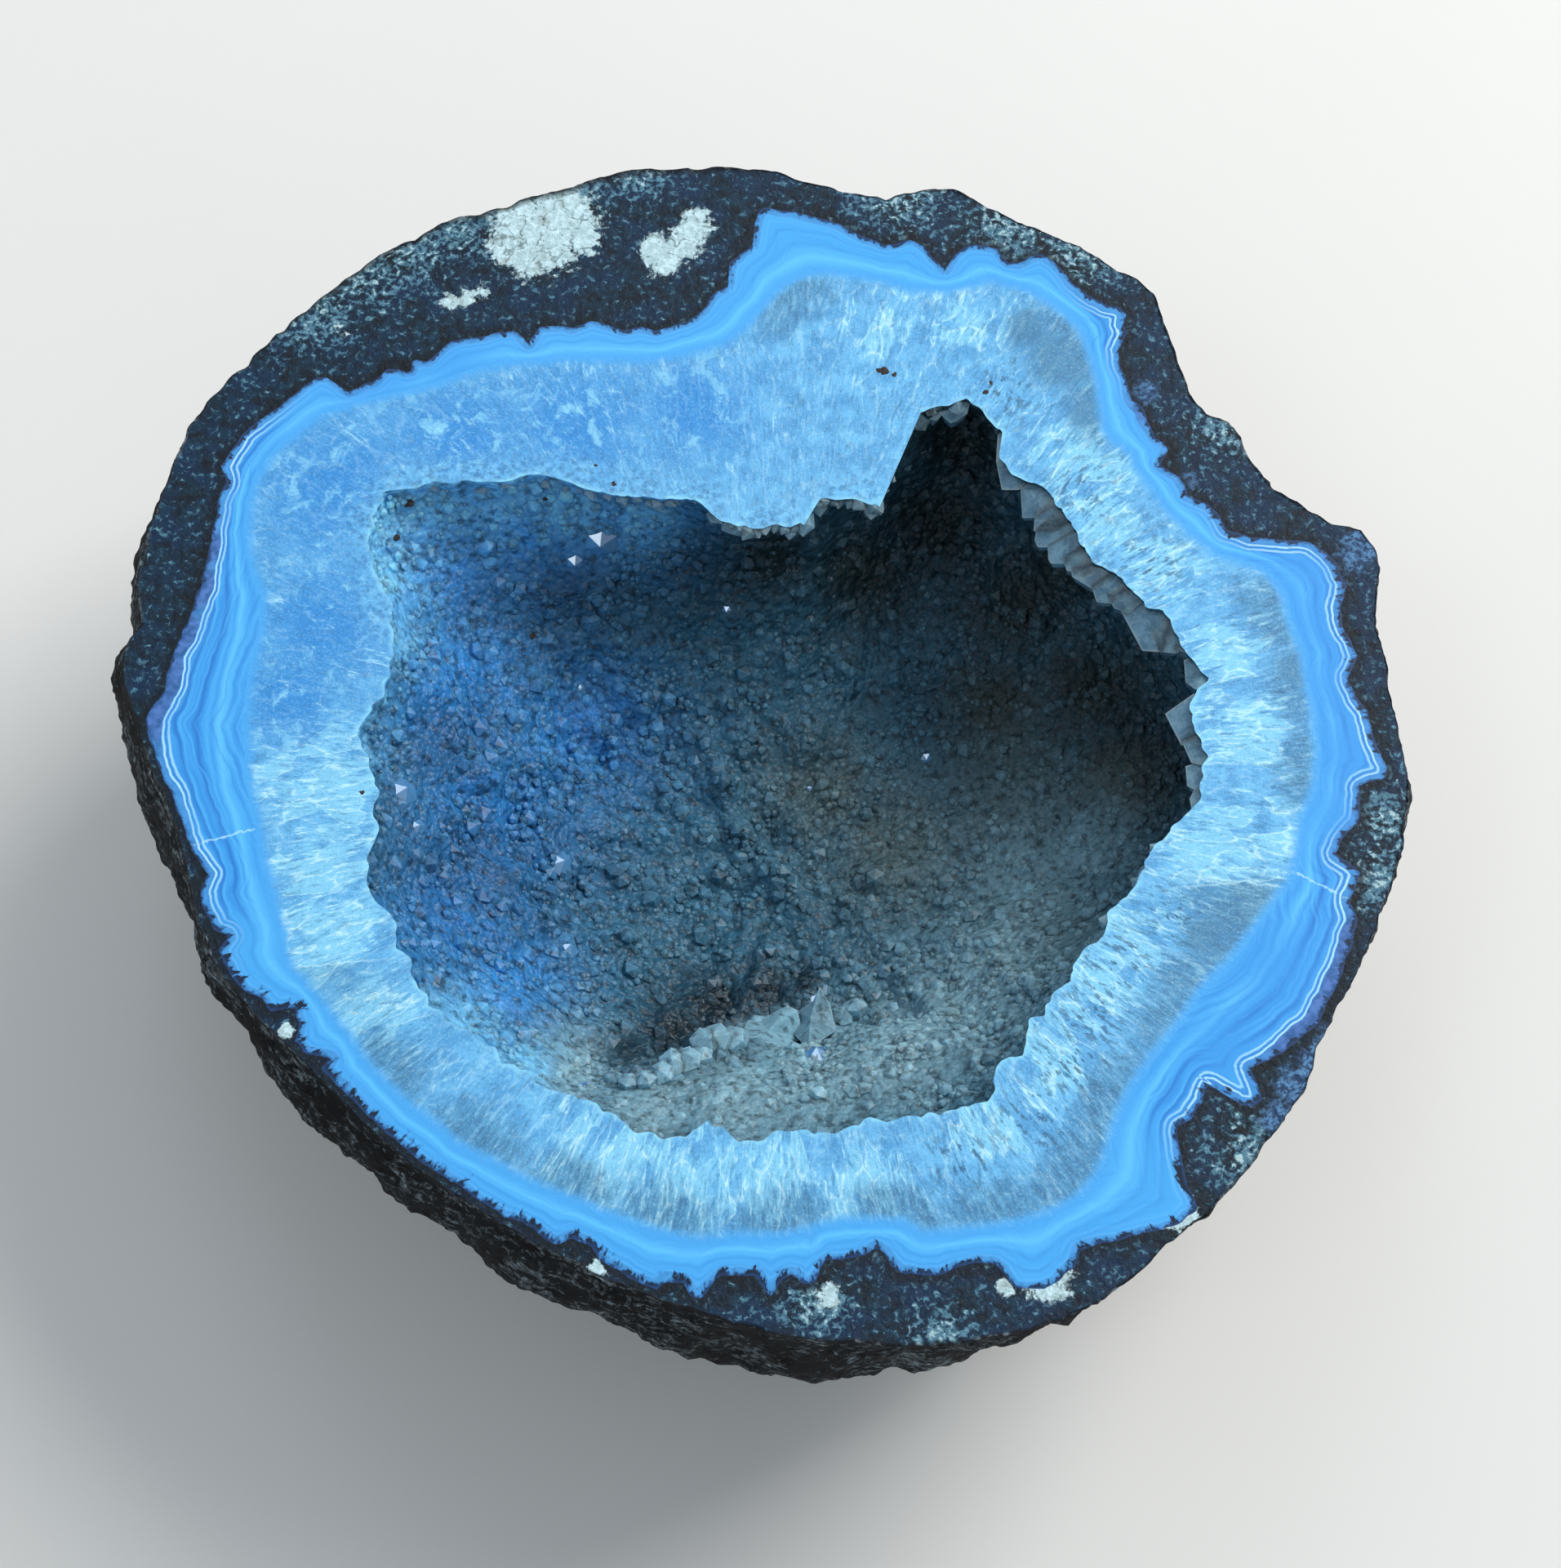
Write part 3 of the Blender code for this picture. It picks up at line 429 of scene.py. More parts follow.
class Shader:
    """A material whose nodes are added by short calls. Its lengths are millimetres."""

    def __init__(self, name):
        self.material = bpy.data.materials.new(name)
        self.material.use_nodes = True
        self.tree = self.material.node_tree
        self.spot = self.vector("SCALE", self.node("ShaderNodeTexCoord", output="Object"), MM)

    def put(self, socket, value):
        """Links a socket to another one, or gives it a value."""
        if isinstance(value, bpy.types.NodeSocket):
            self.tree.links.new(value, socket)
        elif isinstance(value, tuple) and socket.type == "RGBA":
            socket.default_value = (*value, 1)
        else:
            socket.default_value = value

    def node(self, kind, inputs=(), output=0, **settings):
        """Adds a node, fills its inputs, given as (name or number, value), and returns an output."""
        node = self.tree.nodes.new(kind)
        for key, value in settings.items():
            setattr(node, key, value)
        for key, value in inputs:
            self.put(node.inputs[key], value)
        return node.outputs[output]

    def done(self, values):
        """Gives the surface its values, and returns the material."""
        surface = self.tree.nodes["Principled BSDF"]
        for key, value in values.items():
            self.put(surface.inputs[key], value)
        return self.material

    def mark(self, name, output="Fac"):
        return self.node("ShaderNodeAttribute", output=output, attribute_name=name)

    def math(self, how, *values):
        return self.node("ShaderNodeMath", enumerate(values), operation=how)

    def plus(self, one, two):
        return self.math("ADD", one, two)

    def minus(self, one, two):
        return self.math("SUBTRACT", one, two)

    def times(self, one, two):
        return self.math("MULTIPLY", one, two)

    def spread(self, value, width):
        """A value between 0 and 1, centred on zero and made this wide."""
        return self.times(self.minus(value, 0.5), width)

    def vector(self, how, *values):
        places = (0, "Scale") if how == "SCALE" else (0, 1)
        output = "Value" if how in ("LENGTH", "DOT_PRODUCT") else 0
        return self.node("ShaderNodeVectorMath", zip(places, values), output, operation=how)

    def steps(self, value, low, high, start=0.0, end=1.0):
        """Goes smoothly from start to end as a value goes from low to high."""
        inputs = {"Value": value, "From Min": low, "From Max": high, "To Min": start, "To Max": end}
        return self.node("ShaderNodeMapRange", inputs.items(), "Result", interpolation_type="SMOOTHSTEP")

    def fade(self, value, low, high):
        """Goes smoothly from one to zero."""
        return self.steps(value, low, high, 1.0, 0.0)

    def mix(self, share, one, two):
        return self.node("ShaderNodeMix", ((0, share), (6, one), (7, two)), 2, data_type="RGBA")

    def noise(self, spot, size, detail=2.0, roughness=0.5, socket="Vector", **settings):
        inputs = ((socket, spot), ("Scale", 1 / size), ("Detail", detail), ("Roughness", roughness))
        return self.node("ShaderNodeTexNoise", inputs, **settings)

    def stripes(self, value, size, detail, roughness):
        """Uneven stripes along one value."""
        return self.noise(value, size, detail, roughness, "W", noise_dimensions="1D")

    def cells(self, spot, size, feature="F1", output="Distance"):
        inputs = (("Vector", spot), ("Scale", 1 / size))
        return self.node("ShaderNodeTexVoronoi", inputs, output, feature=feature)

    def patches(self, spot, size):
        """A value of its own for each cell."""
        return self.node("ShaderNodeSeparateXYZ", [(0, self.cells(spot, size, output="Color"))])

    def moved(self, spot, amount, size):
        """A spot pushed about by noise, by this much and over this size."""
        push = self.node("ShaderNodeTexNoise", (("Vector", spot), ("Scale", 1 / size)), 1)
        push = self.vector("SCALE", self.vector("SUBTRACT", push, (0.5, 0.5, 0.5)), amount)
        return self.vector("ADD", spot, push)

    def wisps(self, amount, size, lumps):
        """Distance from thin curved lines, which noise draws where it crosses its middle."""
        lines = self.noise(self.moved(self.spot, amount, size), lumps, 3, 0.6)
        return self.math("ABSOLUTE", self.minus(lines, 0.5))

    def off_facet_edge(self):
        """How far a place is from the closest edge of its three-sided facet."""
        parts = self.node("ShaderNodeSeparateXYZ", [(0, self.mark("facet", "Vector"))]).node.outputs
        return self.math("MINIMUM", self.math("MINIMUM", parts[0], parts[1]), parts[2])

    def ramp(self, value, stops):
        result = self.node("ShaderNodeValToRGB", [(0, value)])
        elements = result.node.color_ramp.elements
        while len(elements) < len(stops):
            elements.new(0.5)
        for element, (place, colour) in zip(elements, stops):
            element.position = place
            element.color = (*colour, 1)
        return result

    def bump(self, height, depth):
        """Relief of this depth in millimetres."""
        return self.node("ShaderNodeBump", (("Height", height), ("Distance", depth / MM)))


# Colours of the rock.
ROCK_DARK, ROCK_MID, ROCK_BLUE = tone(5, 16, 24), tone(14, 50, 70), tone(8, 44, 76)
ROCK_FLECK, ROCK_GREEN = tone(96, 148, 178), tone(76, 122, 134)
ROCK_BROWN, ROCK_BLACK, ROCK_DUST = tone(28, 31, 34), tone(7, 10, 14), tone(128, 142, 150)
ROCK_VIOLET, ROCK_PLUM = tone(84, 134, 180), tone(24, 54, 90)
PATCH_WHITE, PATCH_CREAM, PATCH_CRACK = tone(206, 236, 246), tone(170, 200, 206), tone(60, 72, 74)
PATCH_STAIN = tone(132, 142, 134)
# White mineral patches on the sawn rock, as (x, y, radius) in the photograph's pixels.
PATCHES = [
    (640, 272, 44), (690, 262, 46), (665, 300, 50), (620, 300, 30), (712, 290, 30), (650, 322, 24),
    (855, 272, 24), (838, 298, 30), (812, 318, 26), (800, 300, 22),
    (552, 370, 14), (570, 362, 14), (590, 354, 13), (612, 348, 12), (640, 342, 10), (420, 405, 11),
    (730, 1555, 13), (1445, 1485, 26), (1285, 1567, 32), (1232, 1577, 14), (1015, 1587, 18),
    (350, 1262, 12), (295, 1235, 11),
]
# Violet-grey lumps and fuzz on the rock beside the agate.
VIOLET_ROCK = [
    (1668, 668, 26), (1652, 690, 18), (1612, 1300, 22), (1586, 1330, 24), (1566, 1370, 22),
    (1625, 1270, 18), (1400, 480, 16), (1452, 590, 14),
]
# Stretches of the rock's edge that pale flecks cover.
PALE_RIM = [
    (380, 372, 60), (440, 330, 60), (500, 295, 60), (560, 265, 60), (620, 245, 50), (700, 225, 50),
    (780, 208, 40), (1100, 234, 60), (1240, 275, 60), (1320, 312, 50), (1500, 520, 40),
    (1690, 1075, 50), (1700, 1000, 40), (1540, 1420, 60), (1150, 1640, 40), (1000, 1600, 40),
]
ROCK_ZONES = {"patch": PATCHES, "pale_rim": PALE_RIM, "violet": VIOLET_ROCK}


def rock_material():
    s = Shader("rock")
    sawn = s.mark("sawn")
    patch = s.mark("patch")
    pale = s.mark("pale_rim")
    spot = s.moved(s.spot, 0.9, 0.8)
    broad = s.noise(s.spot, 4.0, 3, 0.6)
    grain = s.noise(spot, 1.1, 4, 0.62)
    fine = s.noise(spot, 0.55, 3, 0.6)
    ground = s.mix(s.steps(grain, 0.36, 0.64), ROCK_DARK, ROCK_MID)
    ground = s.mix(s.steps(broad, 0.40, 0.62, 0.1, 0.8), ground, ROCK_BLUE)
    # Pale worm-like flecks, thick along parts of the rim.
    worms = s.plus(s.times(fine, 0.7), s.times(grain, 0.3))
    worms = s.plus(worms, s.times(pale, 0.17))
    worms = s.plus(worms, s.spread(broad, 0.25))
    flecks = s.steps(worms, 0.56, 0.68)
    fleck_tone = s.mix(s.noise(s.spot, 1.3, 2), ROCK_FLECK, ROCK_GREEN)
    cut = s.mix(s.times(flecks, 0.8), ground, fleck_tone)
    bright = s.steps(s.plus(fine, s.times(pale, 0.17)), 0.69, 0.79)
    cut = s.mix(bright, cut, PATCH_CREAM)
    frost = s.mix(s.steps(s.noise(spot, 0.5, 4, 0.7), 0.42, 0.60), ROCK_PLUM, ROCK_VIOLET)
    frosted = s.plus(s.mark("violet"), s.minus(grain, 0.5))
    cut = s.mix(s.steps(frosted, 0.2, 0.6), cut, frost)
    beside = s.plus(s.mark("off_agate"), s.spread(grain, 2.0))
    cut = s.mix(s.steps(beside, 0.2, 1.4, 0.75, 0.0), cut, ROCK_DARK)
    # White patches have ragged edges and thin dark cracks.
    ragged = s.spread(s.noise(s.spot, 0.9, 5, 0.75), 1.5)
    white = s.steps(s.plus(patch, ragged), 0.42, 0.58)
    cracks = s.fade(s.cells(s.moved(s.spot, 1.8, 1.2), 2.6, "DISTANCE_TO_EDGE"), 0.0, 0.05)
    cracks = s.times(cracks, s.steps(grain, 0.40, 0.52))
    cracks = s.math("MAXIMUM", cracks, s.steps(s.noise(s.spot, 0.35, 3, 0.6), 0.64, 0.70))
    speckle = s.steps(s.noise(s.spot, 0.6, 4, 0.7), 0.38, 0.66)
    cream = s.mix(speckle, PATCH_CREAM, PATCH_WHITE)
    stain = s.steps(s.noise(s.spot, 1.5, 3, 0.6), 0.55, 0.72)
    cream = s.mix(s.times(stain, 0.5), cream, PATCH_STAIN)
    cream = s.mix(s.times(cracks, 0.7), cream, PATCH_CRACK)
    cut = s.mix(white, cut, cream)
    # The rough outside: brown-black, with streaks along the rim and dusty high spots.
    flat = s.vector("MULTIPLY", s.moved(s.spot, 2.0, 6.0), (0.35, 0.35, 1.3))
    streak = s.noise(flat, 1.6, 4, 0.6)
    skin = s.mix(s.steps(streak, 0.35, 0.65), ROCK_BLACK, ROCK_BROWN)
    long = s.noise(flat, 0.5, 4, 0.65)
    dusty = s.plus(s.times(s.noise(spot, 0.6, 4, 0.7), 0.5), s.times(long, 0.5))
    dusty = s.plus(dusty, s.times(s.noise(s.spot, 5.0, 2), 0.3))
    skin = s.mix(s.times(s.steps(dusty, 0.65, 0.80), 0.75), skin, ROCK_DUST)
    skin = s.mix(s.steps(dusty, 0.78, 0.86), skin, PATCH_CREAM)
    relief = s.plus(s.noise(spot, 0.45, 4, 0.6), s.times(white, 0.2))
    depth = s.steps(sawn, 0.0, 1.0, 1.0, 0.3)
    return s.done({
        "Base Color": s.mix(sawn, skin, cut),
        "Roughness": s.minus(0.92, s.times(sawn, 0.40)),
        "Specular IOR Level": 0.25,
        "Normal": s.bump(s.times(relief, depth), 0.5),
    })


def radial_spot(s, across, along):
    """Coordinates that run round the middle and outward, so that noise makes spokes."""
    centre = (MIDDLE[0] * MM, MIDDLE[1] * MM, SAWN * MM)
    flat = s.vector("MULTIPLY", s.vector("SUBTRACT", s.moved(s.spot, 1.2, 5.0), centre), (1, 1, 0))
    wide = s.vector("SCALE", s.vector("NORMALIZE", flat), SPOKE_CIRCLE / across)
    up = s.node("ShaderNodeCombineXYZ", [(2, s.math("DIVIDE", s.vector("LENGTH", flat), along))])
    return s.vector("ADD", wide, up)


def below_line(s, start, end):
    """Millimetres by which a place on the sawn face lies below a line in the photograph."""
    first, last = (Vector(sawn_spot(spot)) for spot in (start, end))
    along = (last - first).normalized()
    moved = s.vector("SUBTRACT", s.spot, (first.x * MM, first.y * MM, 0))
    return s.vector("DOT_PRODUCT", moved, (along.y, -along.x, 0))


# Colours of the agate, from its darkest band to its palest line.
AGATE_DEEP, AGATE_BLUE, AGATE_SKY = tone(34, 120, 204), tone(55, 153, 230), tone(72, 172, 240)
AGATE_PALE, AGATE_LINE, AGATE_INNER = tone(94, 192, 251), tone(170, 224, 252), tone(70, 166, 236)
AGATE_PURPLE, AGATE_DUSK = tone(80, 116, 186), tone(32, 74, 132)
# Fuzzy purplish chalcedony outside the crisp line.
PURPLE_ZONES = [
    (205, 880, 34), (215, 830, 34), (222, 780, 32), (240, 720, 30), (250, 670, 24),
    (1650, 1150, 30), (1640, 1200, 34), (1620, 1245, 34), (1590, 1275, 34), (1668, 690, 30),
    (1410, 500, 20),
]
# Where the crisp line shows most.
LINE_ZONES = [
    (260, 700, 110), (230, 820, 110), (225, 940, 110), (250, 1060, 80), (1600, 1180, 110),
    (1560, 1260, 110), (1640, 1100, 80), (1480, 1330, 90), (1660, 900, 90), (1620, 760, 80),
    (1380, 400, 60), (300, 560, 60), (1570, 660, 70),
]
# Cracks and a fault that cross the agate as pale lines, and where they show.
AGATE_CRACKS = [((230, 1037), (320, 1012)), ((1580, 1065), (1640, 1095))]
CRACKED_ZONES = [(255, 1030, 30), (295, 1018, 30), (1600, 1076, 26), (1625, 1088, 26)]
# Painted shade, where the agate is darkened toward a deeper blue.
AGATE_SHADE_ZONES = [
    (1600, 690, 50), (1620, 760, 60), (1640, 840, 60), (1650, 920, 60), (1640, 1000, 50), (470, 490, 60),
    (560, 460, 50), (1560, 1180, 60), (1500, 1280, 50),
]
# Bands across the agate, as (share of the way from the rock to the quartz, colour).
AGATE_BANDS = [
    (0.00, AGATE_BLUE), (0.16, AGATE_SKY), (0.24, AGATE_BLUE), (0.30, AGATE_DEEP), (0.335, AGATE_SKY),
    (0.37, AGATE_BLUE), (0.44, AGATE_BLUE), (0.49, AGATE_DEEP), (0.55, AGATE_BLUE), (0.60, AGATE_SKY),
    (0.64, AGATE_BLUE), (0.72, AGATE_PALE), (0.80, AGATE_SKY), (0.90, AGATE_BLUE), (1.00, AGATE_INNER),
]
AGATE_ZONES = {"purple": PURPLE_ZONES, "line": LINE_ZONES, "agate_shade": AGATE_SHADE_ZONES, "cracked": CRACKED_ZONES}


def agate_material():
    s = Shader("agate")
    outer = s.mark("outer_mm")
    inner = s.mark("inner_mm")
    purple = s.mark("purple")
    wander = s.minus(s.noise(s.spot, 3.0, 2), 0.5)
    small = s.minus(s.noise(s.spot, 0.45, 3), 0.5)
    depth = s.plus(outer, s.times(wander, 0.5))
    depth = s.plus(depth, s.times(small, 0.10))
    width = s.plus(s.plus(outer, inner), 0.001)
    share = s.math("DIVIDE", depth, width)
    share = s.plus(share, s.spread(s.noise(s.spot, 12.0, 1), 0.12))
    line = s.mark("line")
    plain = s.ramp(share, [(0.0, AGATE_SKY), (0.5, AGATE_SKY), (0.75, AGATE_PALE), (1.0, AGATE_INNER)])
    colour = s.mix(s.steps(line, 0.1, 0.8, 0.30, 1.0), plain, s.ramp(share, AGATE_BANDS))
    # Finer bands that run along with the broad ones.
    fine = s.stripes(s.plus(depth, s.times(wander, 0.4)), 0.42, 2, 0.5)
    paler = s.steps(fine, 0.5, 0.68)
    faint = s.steps(line, 0.1, 0.8, 0.12, 0.32)
    colour = s.mix(s.times(paler, faint), colour, AGATE_PALE)
    colour = s.mix(s.times(s.fade(fine, 0.32, 0.46), faint), colour, AGATE_DEEP)
    # Painted shade on the right and upper left of the agate.
    colour = s.mix(s.times(s.mark("agate_shade"), 0.75), colour, AGATE_BLUE)
    for start, end in AGATE_CRACKS:
        off_crack = s.plus(below_line(s, start, end), s.times(small, 0.6))
        crack = s.fade(s.math("ABSOLUTE", off_crack), 0.03, 0.13)
        colour = s.mix(s.times(crack, s.steps(s.mark("cracked"), 0.0, 0.5, 0.0, 0.8)), colour, AGATE_LINE)
    # Cloudy blue-violet chalcedony lies outside the crisp line.
    at = s.plus(0.75, s.spread(s.noise(s.spot, 6.0, 1), 0.8))
    at = s.plus(at, s.times(purple, 0.75))
    cloudy = s.mix(s.steps(s.noise(s.spot, 0.9, 4, 0.65), 0.35, 0.65), AGATE_DUSK, AGATE_PURPLE)
    outside = s.minus(at, depth)
    fuzz = s.times(s.steps(outside, -0.05, 0.25), s.plus(0.35, purple))
    colour = s.mix(s.math("MINIMUM", fuzz, 0.9), colour, cloudy)
    # Two crisp pale lines follow the teeth, with a deep blue one between and outside them.
    off = s.math("ABSOLUTE", outside)
    off_two = s.math("ABSOLUTE", s.plus(outside, 0.46))
    between = s.math("ABSOLUTE", s.plus(outside, 0.23))
    colour = s.mix(s.times(s.fade(off, 0.08, 0.34), s.times(line, 0.7)), colour, AGATE_DEEP)
    colour = s.mix(s.times(s.fade(between, 0.04, 0.18), s.times(line, 0.6)), colour, AGATE_DEEP)
    colour = s.mix(s.times(s.fade(off, 0.05, 0.14), line), colour, AGATE_LINE)
    second = s.times(s.fade(off_two, 0.05, 0.15), s.times(line, 0.75))
    colour = s.mix(second, colour, AGATE_LINE)
    # Black rock grows into the outer part in branching teeth.
    growth = s.noise(s.moved(radial_spot(s, 0.62, 1.5), 0.6, 0.7), 1.0, 4, 0.62)
    reach = s.math("DIVIDE", outer, s.plus(0.2, s.times(s.mark("spikes"), 1.6)))
    growth = s.minus(growth, s.times(reach, 0.30))
    teeth = s.steps(growth, 0.40, 0.45)
    colour = s.mix(s.steps(growth, 0.34, 0.42, 0.0, 0.5), colour, AGATE_DUSK)
    colour = s.mix(teeth, colour, s.mix(s.noise(s.spot, 0.4, 3), ROCK_BLACK, ROCK_BLUE))
    # The outermost tenths of a millimetre are dusky, where rock shows through.
    fringe = s.fade(s.plus(outer, s.times(small, 0.7)), 0.0, 0.38)
    colour = s.mix(s.times(fringe, 0.6), colour, AGATE_DUSK)
    return s.done({
        "Base Color": colour,
        "Roughness": 0.36,
        "Specular IOR Level": 0.3,
        "Coat Weight": 0.1,
        "Coat Roughness": 0.2,
        "Normal": s.bump(s.noise(s.spot, 0.9, 3), 0.02),
    })


# Colours of the quartz.
QUARTZ_BLUE_SHEEN, QUARTZ_MILK, QUARTZ_PALE = tone(38, 136, 212), tone(80, 158, 214), tone(108, 188, 238)
QUARTZ_WHITE, QUARTZ_GREY, QUARTZ_LIGHT = tone(150, 224, 252), tone(60, 114, 152), tone(196, 242, 254)
QUARTZ_SLOT, QUARTZ_HAZE = tone(48, 98, 134), tone(62, 122, 170)
# Milky and clear places on the sawn quartz.
MILKY_ZONES = [
    (1520, 1045, 80), (1570, 1040, 50), (1460, 1050, 50), (400, 960, 70), (395, 1050, 70), (400, 1140, 70),
    (1320, 560, 60), (1350, 640, 50), (1420, 700, 50), (1500, 800, 50), (1530, 900, 50), (1190, 400, 40),
    (1090, 400, 40), (1380, 1150, 50), (1340, 1210, 50), (1290, 1290, 50), (1200, 1390, 50),
    (1050, 1440, 60), (950, 1440, 60), (850, 1440, 60), (740, 1420, 60), (470, 1240, 50),
]
GREY_ZONES = [
    (1290, 430, 80), (1340, 500, 60), (980, 380, 60), (1560, 750, 60), (1590, 840, 60), (1600, 940, 60),
    (1510, 1140, 90), (1440, 1220, 90), (1370, 1350, 80), (1310, 1430, 80), (1220, 1480, 70),
    (1100, 1490, 70), (960, 1500, 70), (820, 1480, 70), (700, 1450, 70), (590, 1390, 70), (480, 1300, 60),
]
# The upper left, bluer and with softer fibres: partly the quartz's own blue, partly a painted sheen of the
# window's cool light.
BLUE_SHEEN_ZONES = [
    (420, 600, 130), (560, 540, 110), (700, 520, 110), (400, 760, 110), (850, 500, 80), (350, 850, 80),
]
# Where the hollow's crystals show through the cut stone, and where a fault crosses it.
GRAINY_ZONES = [
    (445, 640, 60), (445, 740, 50), (510, 575, 60), (600, 566, 60), (700, 572, 60), (780, 584, 60),
    (860, 604, 50), (940, 622, 50), (1040, 590, 40),
]
FAULT_ZONES = [(410, 1200, 60), (350, 1200, 50), (1500, 1100, 60), (1560, 1110, 50)]
FAULTS = [((300, 1190), (500, 1172)), ((1430, 1068), (1600, 1090))]
# The clearest quartz.
CLEAR_ZONES = [(1300, 440, 46), (1260, 405, 34), (1335, 500, 34), (1480, 1150, 30), (1590, 820, 30)]
# Where dark slots lie between the fibres.
SLOT_ZONES = [
    (1370, 1180, 60), (1340, 1240, 60), (1310, 1300, 60), (1270, 1370, 60), (1180, 1420, 50),
    (1440, 1120, 50), (1330, 600, 50), (1410, 690, 50), (1230, 480, 50),
]
QUARTZ_ZONES = {
    "milky": MILKY_ZONES, "grey": GREY_ZONES, "blue_sheen_zone": BLUE_SHEEN_ZONES, "slotted": SLOT_ZONES,
    "grainy": GRAINY_ZONES, "clearer": CLEAR_ZONES, "fault": FAULT_ZONES,
}


def quartz_material():
    s = Shader("milky_quartz")
    outer = s.mark("outer_mm")
    inner = s.mark("inner_mm")
    milky = s.mark("milky")
    cloud = s.noise(s.spot, 2.6, 4, 0.6)
    small = s.noise(s.spot, 0.8, 3, 0.6)
    colour = s.mix(s.steps(cloud, 0.36, 0.66), QUARTZ_MILK, QUARTZ_PALE)
    # Painted sheen: the upper left is mixed toward blue.
    colour = s.mix(s.mark("blue_sheen_zone"), colour, QUARTZ_BLUE_SHEEN)
    mottle = s.noise(s.moved(s.spot, 0.8, 1.2), 0.6, 4, 0.65)
    colour = s.mix(s.steps(mottle, 0.48, 0.72, 0.0, 0.35), colour, QUARTZ_PALE)
    colour = s.mix(s.steps(mottle, 0.28, 0.46, 0.25, 0.0), colour, QUARTZ_GREY)
    # Lobes and fibres that stand on the agate and fan out toward the hollow.
    lobes = s.moved(radial_spot(s, 1.3, 3.2), 0.8, 1.3)
    crease = s.fade(s.cells(lobes, 1.0, "DISTANCE_TO_EDGE"), 0.0, 0.09)
    lobe_tone = s.patches(lobes, 1.0)
    coarse = s.noise(radial_spot(s, 0.9, 2.6), 1.0, 4, 0.65)
    fine = s.noise(s.moved(radial_spot(s, 0.32, 1.5), 0.8, 1.5), 1.0, 4, 0.7)
    fibres = s.plus(s.times(coarse, 0.5), s.times(fine, 0.5))
    # The painted sheen also softens the fibres' contrast in the upper left.
    rough = s.minus(1.0, s.times(s.mark("blue_sheen_zone"), 0.55))
    ragged = s.plus(milky, s.spread(fibres, 2.4))
    ragged = s.plus(ragged, s.spread(lobe_tone, 0.8))
    whiter = s.steps(ragged, 0.30, 0.80)
    colour = s.mix(s.times(whiter, 0.55), colour, QUARTZ_WHITE)
    lit = s.times(rough, s.plus(0.25, s.times(whiter, 0.55)))
    colour = s.mix(s.times(s.steps(fine, 0.55, 0.66), lit), colour, QUARTZ_LIGHT)
    colour = s.mix(s.times(s.times(crease, s.steps(coarse, 0.42, 0.60)), lit), colour, QUARTZ_LIGHT)
    shaded = s.times(s.fade(fine, 0.36, 0.46), s.times(rough, 0.45))
    colour = s.mix(shaded, colour, QUARTZ_GREY)
    # Plumes of white haze in the blue part, which are a painted sheen of the window's cool light.
    plume = s.noise(s.moved(radial_spot(s, 2.2, 2.6), 1.6, 1.2), 1.0, 4, 0.7)
    plume = s.times(s.steps(plume, 0.52, 0.66, 0.0, 0.7), s.mark("blue_sheen_zone"))
    colour = s.mix(plume, colour, QUARTZ_WHITE)
    # Clear quartz, through which the dark inside shows.
    deep = s.plus(outer, s.spread(cloud, 3.0))
    deep = s.plus(deep, s.spread(fibres, 3.0))
    grey = s.mark("grey")
    deep = s.minus(deep, s.times(grey, 2.5))
    strip = s.times(s.steps(outer, 0.0, 1.2), s.fade(deep, 0.0, 4.0))
    clear = s.times(s.steps(grey, 0.1, 0.8), strip)
    clear = s.times(clear, s.steps(fine, 0.36, 0.62, 0.78, 0.40))
    clearer = s.plus(s.mark("clearer"), s.spread(cloud, 1.2))
    clear = s.math("MAXIMUM", clear, s.steps(clearer, 0.1, 0.8, 0.0, 0.72))
    colour = s.mix(clear, colour, QUARTZ_GREY)
    # Dark slots between the fibres, where the stone is roughest.
    slot = s.noise(s.moved(radial_spot(s, 0.5, 1.3), 0.5, 0.8), 1.0, 3, 0.6)
    slot = s.times(s.steps(slot, 0.53, 0.61), s.mark("slotted"))
    colour = s.mix(s.times(slot, 0.9), colour, QUARTZ_SLOT)
    # The stone is greyer below each fault, which shows as a thin pale line.
    for start, end in FAULTS:
        sway = s.spread(small, 0.7)
        wavy = s.plus(below_line(s, start, end), sway)
        at_fault = s.mark("fault")
        lower = s.times(s.times(s.steps(wavy, -0.05, 0.1), at_fault), 0.3)
        near = s.times(s.fade(s.math("ABSOLUTE", wavy), 0.03, 0.14), at_fault)
        close = s.fade(s.math("ABSOLUTE", wavy), 4.0, 6.0)
        colour = s.mix(s.times(lower, close), colour, QUARTZ_GREY)
        colour = s.mix(s.times(near, 0.6), colour, QUARTZ_LIGHT)
    # Crystals of the hollow show through as grains.
    ragged_edge = s.plus(inner, s.spread(cloud, 4.0))
    through = s.times(s.mark("grainy"), s.fade(ragged_edge, 0.3, 4.2))
    uneven = s.spread(small, 1.6)
    grains = s.steps(s.plus(s.cells(s.moved(s.spot, 1.1, 0.9), 0.6), uneven), 0.1, 0.8)
    colour = s.mix(s.times(through, 0.8), colour, s.mix(grains, QUARTZ_HAZE, QUARTZ_PALE))
    grain = s.noise(s.spot, 0.22, 3, 0.7)
    colour = s.mix(s.steps(grain, 0.54, 0.68, 0.0, 0.28), colour, QUARTZ_LIGHT)
    colour = s.mix(s.steps(grain, 0.32, 0.46, 0.28, 0.0), colour, QUARTZ_GREY)
